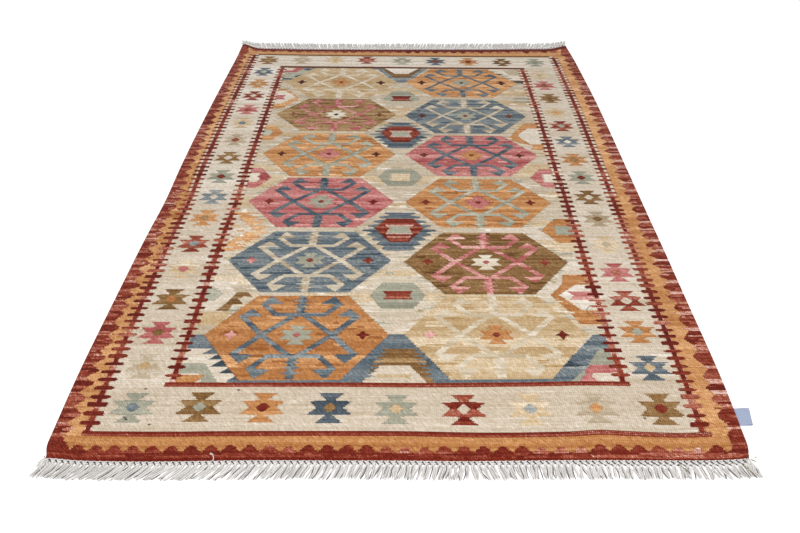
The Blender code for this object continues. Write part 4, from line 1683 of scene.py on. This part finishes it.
    def add_wisp(self, wisp: Wisp, strand: Form) -> None:
        """The frayed strands of a corner."""
        corner = self.edge(np.array([math.copysign(1.0, wisp.x)]))[0]
        for number in range(wisp.strands):
            share_of_fan = number / max(1, wisp.strands - 1) - 0.5
            heading = math.radians(wisp.heading + wisp.fan * share_of_fan + self.luck.normal(0, 4))
            reach = wisp.length * self.luck.uniform(0.7, 1.1)
            curl = wisp.curl * self.luck.uniform(0.5, 1.3)
            radius = self.radius * self.luck.uniform(0.6, 0.95)
            rest = radius + self.luck.uniform(0, 0.003)
            start = np.array([wisp.x + self.luck.normal(0, 0.003), corner[1] + self.end.value * wisp.out, corner[2]])

            def path(share: Array) -> Array:
                """The strand's curl across the floor."""
                turn = heading + curl * share
                x = start[0] + reach * share * np.sin(turn)
                y = start[1] + self.end.value * reach * share * np.cos(turn)
                z = rest + (start[2] + 0.003) * np.clip(1 - share, 0, 1) ** 2
                return np.stack([x, y, z], axis=1)

            self.gathering.add(strand, carried(strand, path, radius, 0.92), reach, self.tone())


# ---------------- the label and the loose ends


@dataclass
class SideLabel:
    """A ribbon folded on itself, its two ends sewn into the right selvedge and its fold outwards."""

    shape: ClothShape
    middle: float = -1.0765
    width: float = 0.052
    reach_near: float = 0.031
    reach_far: float = 0.039
    thick: float = 0.00045
    fold: float = 0.0013
    lift: float = 0.0016
    tucked: float = 0.004
    steps_along: int = 16
    steps_out: int = 12
    steps_fold: int = 6

    def build(self) -> Piece:
        """Makes the label, dressed."""
        rows = [self.section(step / self.steps_along) for step in range(self.steps_along + 1)]
        points = np.array(rows)
        count = points.shape[1]
        grid = np.arange(points.shape[0] * count).reshape(points.shape[0], count)
        faces = quads(grid)
        label = new_piece("side_label", points.reshape(-1, 3), [tuple(face) for face in faces.tolist()])
        run = np.concatenate([[0], np.cumsum(np.linalg.norm(np.diff(points[0], axis=0), axis=1))])
        across = np.linspace(0, self.width, points.shape[0])
        flat = np.stack(np.meshgrid(across, run, indexing="ij"), axis=-1).reshape(-1, 2)
        add_map(label.data, "ribbon", flat[faces.ravel()])
        solid = label.modifiers.new("ribbon_thickness", "SOLIDIFY")
        solid.thickness = self.thick
        solid.offset = 0.0
        settle(label, LabelRibbon().build(), "label_ribbon", "label")
        return label

    def section(self, share: float) -> list[tuple[float, float, float]]:
        """The ribbon's line at one place along the selvedge: out, round the fold and back under."""
        y = self.middle + (share - 0.5) * self.width
        edge = float(self.shape.side_x(RIGHT, np.array(y)))
        reach = self.reach_near + (self.reach_far - self.reach_near) * share - self.fold

        def layer(side: int) -> list[tuple[float, float, float]]:
            """One layer, from the selvedge to the fold."""
            outs = [step / self.steps_out for step in range(self.steps_out + 1)]
            return [(edge - self.tucked + (reach + self.tucked) * o, y, self.layer(o, share, side)) for o in outs]

        line = layer(1)
        top, low = self.layer(1.0, share, 1), self.layer(1.0, share, -1)
        for step in range(1, self.steps_fold):
            turn = math.pi * step / self.steps_fold
            half = (top - low) / 2
            line.append((edge + reach + self.fold * math.sin(turn), y, low + half + half * math.cos(turn)))
        return line + layer(-1)[::-1]

    def layer(self, out: float, share: float, side: int) -> float:
        """Height of the upper or the lower layer of the ribbon."""
        base = 0.0012 * (1 - out) ** 2 + self.lift * (1 - share) * out**2 + 0.0004
        gap = 0.00035 + (self.fold * 0.9 + 0.0009 * (1 - share)) * math.sin(math.pi * 0.62 * out) ** 2
        wave = 0.0003 * math.sin(7.0 * share + 2.0) * out
        return base + gap * (1 + side) + wave * (1 + side) / 2


@dataclass(frozen=True)
class Tail:
    """A loose end of yarn: points that it passes through, in X and Y from the near edge, and its radius."""

    points: tuple[Point, ...]
    radius: float


@dataclass
class LooseEnds:
    """Ends of yarn that lie loose on the rug."""

    shape: ClothShape
    white: tuple[Tail, ...] = (
        Tail(mm(-432.5, -4, -432, 6, -435, 13, -442, 19.5), 0.001),
        Tail(mm(-440, 19, -443, 16.5, -438, 13), 0.0009),
    )
    dark: tuple[Tail, ...] = (
        Tail(mm(556, 519, 549, 512, 545, 500, 548, 488, 557, 479), 0.0007),
        Tail(mm(556, 519, 560, 523, 566, 521), 0.0006),
        Tail(mm(831.5, 13, 827, 7, 821.5, 0.5), 0.0009),
        Tail(mm(844, 8.5, 847, 6.5), 0.001),
        Tail(mm(-834, 11, -827, 3, -819, -5), 0.0008),
    )
    green: tuple[Tail, ...] = (
        Tail(mm(656, -12, 664, -18, 671, -26, 676.5, -36), 0.0013),
        Tail(mm(660, -16, 670, -24, 673, -33), 0.001),
        Tail(mm(832, 1, 837, -2, 843, -4), 0.0012),
        Tail(mm(806, -12, 811, -21, 818, -24), 0.0012),
        Tail(mm(815, -26, 823, -36, 826, -49), 0.0011),
    )

    def build(self, cotton: Material, strand: Form) -> list[Piece]:
        """Makes the ends, dressed."""
        threads = self.gather("loose_warp_thread", self.white, strand)
        settle(threads, cotton, "warp_cotton")
        wool = []
        for name, tails, dye in (
            ("loose_dark_ends", self.dark, COAL.value),
            ("loose_green_ends", self.green, Dye("#5c5138", "#a29878")),
        ):
            piece = self.gather(name, tails, strand)
            settle(piece, TailWool(name + "_wool", dye).build(), "kilim_wool")
            wool.append(piece)
        return [threads, *wool]

    def gather(self, name: str, tails: Iterable[Tail], strand: Form) -> Piece:
        """Makes one piece of the ends that share a yarn."""
        gathering = Gathering()
        for tail in tails:
            spots = np.array(tail.points)
            spots[:, 1] -= CLOTH_LENGTH / 2
            knots = np.linspace(0, 1, len(spots))

            def path(share: Array) -> Array:
                """The end's run over the cloth and down to the floor past its edge."""
                x, y = (np.interp(share, knots, spots[:, axis]) for axis in (0, 1))
                x = x + 0.0006 * np.sin(9 * share)
                on_cloth = ramp(y, -CLOTH_LENGTH / 2 - 0.006, -CLOTH_LENGTH / 2 + 0.001)
                on_cloth = on_cloth * ramp(-x, -0.844, -0.838)
                z = 0.0052 + (CLOTH_THICKNESS - 0.004) * on_cloth + self.shape.lift_at(x, y)
                return np.stack([x, y, z], axis=1)

            length = float(np.linalg.norm(np.diff(spots, axis=0), axis=1).sum())
            gathering.add(strand, carried(strand, path, tail.radius), length, 0.9)
        return gathering.make(name)


# ---------------- the studio


@dataclass
class Studio:
    """A plain white floor, a white dome of light, one large soft light and the camera."""

    floor_size: float = 30.0
    floor_glow: float = 0.35
    dome: float = 0.6
    key_place: tuple[float, float, float] = (0.0, -2.3, 3.0)
    key_size: float = 2.6
    key_power: float = 72.0
    camera_place: tuple[float, float, float] = (0.038, -2.0965, 1.3662)
    camera_down: float = 40.487
    focal_pixels: float = 665.8
    frame_width: int = 800
    middle_column: float = 413.2
    sensor: float = 36.0

    def build(self) -> Piece:
        """Makes everything round the rug, and gives the floor."""
        floor = self.add_floor()
        self.add_dome()
        self.add_key()
        self.add_camera()
        bpy.context.scene.view_settings.view_transform = "Standard"
        return floor

    def add_floor(self) -> Piece:
        """The floor: matt white paper, lit from below so that it stays white round the rug."""
        deselect_all()
        bpy.ops.mesh.primitive_plane_add(size=self.floor_size, location=(0, 0, 0))
        floor = bpy.context.object
        floor.name = "studio_floor"
        material, tree = new_material("matt_white_paper")
        tones = {0: object_noise(tree, 3.0), 6: paint("#fbfbfb"), 7: paint("#fefefe")}
        colour = add_node(tree, "Mix", tones, **COLOURS)
        looks = {"Roughness": 0.9, "Specular IOR Level": 0.1, "Emission Color": paint("#ffffff")}
        finish_material(tree, colour, (), {**looks, "Emission Strength": self.floor_glow})
        floor.data.materials.append(material)
        return floor

    def add_dome(self) -> None:
        """Even white light from all round."""
        world = bpy.data.worlds.new("studio_dome")
        world.use_nodes = True
        sky = world.node_tree.nodes["Background"]
        feed(world.node_tree, sky, {"Color": paint("#ffffff"), "Strength": self.dome})
        bpy.context.scene.world = world

    def add_key(self) -> None:
        """One large soft light, high behind the camera."""
        lamp = bpy.data.lights.new("soft_key", "AREA")
        lamp.shape = "SQUARE"
        lamp.size = self.key_size
        lamp.energy = self.key_power
        key = bpy.data.objects.new("soft_key", lamp)
        key.location = self.key_place
        aim = Vector((0.0, 0.0, 0.0)) - Vector(self.key_place)
        key.rotation_euler = aim.to_track_quat("-Z", "Y").to_euler()
        bpy.context.scene.collection.objects.link(key)

    def add_camera(self) -> None:
        """The photograph's view."""
        lens = bpy.data.cameras.new("camera")
        lens.sensor_width = self.sensor
        lens.lens = self.focal_pixels * self.sensor / self.frame_width
        lens.shift_x = (self.frame_width / 2 - self.middle_column) / self.frame_width
        lens.clip_end = 100.0
        camera = bpy.data.objects.new("camera", lens)
        camera.location = self.camera_place
        camera.rotation_euler = (math.radians(90 - self.camera_down), 0.0, 0.0)
        bpy.context.scene.collection.objects.link(camera)
        bpy.context.scene.camera = camera


def main() -> None:
    """Builds the studio, the cloth, its fringes, its label and its loose ends."""
    logging.basicConfig(level=logging.INFO, format="%(message)s")
    floor = Studio().build()
    shape = ClothShape()
    cloth = Cloth(shape).build()
    cotton = WarpCotton().build()
    strand, short, knot = model_strand(5, 9), model_strand(5, 2), model_knot()
    near_leans = mm(
        -852, -10, -800, -24, -700, -34, -560, -36, -340, -24, -110, -12, 160, -10, 185, 18, 330, 5, 660, 2, 760, 14,
        852, 8,
    )
    far_leans = mm(-852, -24, -500, -18, -100, 2, 300, 18, 852, 14)
    near_wisps = (
        Wisp(-0.826, 0.004, -62, 50, 0.026, 1.2, 12), Wisp(-0.822, 0.006, -34, 36, 0.034, 0.6, 9),
        Wisp(0.824, 0.001, 66, 30, 0.014, -0.6, 4), Wisp(0.822, 0.003, 28, 40, 0.038, -0.4, 9),
    )
    far_wisps = (Wisp(-0.836, 0.004, -24, 36, 0.052, 0.3, 7), Wisp(0.812, 0.004, 10, 36, 0.052, -0.3, 6))
    # The far fringe has paler strands, painted light where its end gets dimmer light, and its under strands are less
    # darkened
    fringes = (
        Fringe(shape, "near_fringe", "fringe_near", NEAR, 0.047, near_leans, near_wisps, 11, (0.42, 0.83), 0.58),
        Fringe(shape, "far_fringe", "fringe_far", FAR, 0.0785, far_leans, far_wisps, 23, (9.0, 9.0), 1.3, 0.3),
    )
    near, far = (fringe.build(strand, short, knot, cotton) for fringe in fringes)
    label = SideLabel(shape).build()
    ends = LooseEnds(shape).build(cotton, strand)


if __name__ == "__main__":
    main()
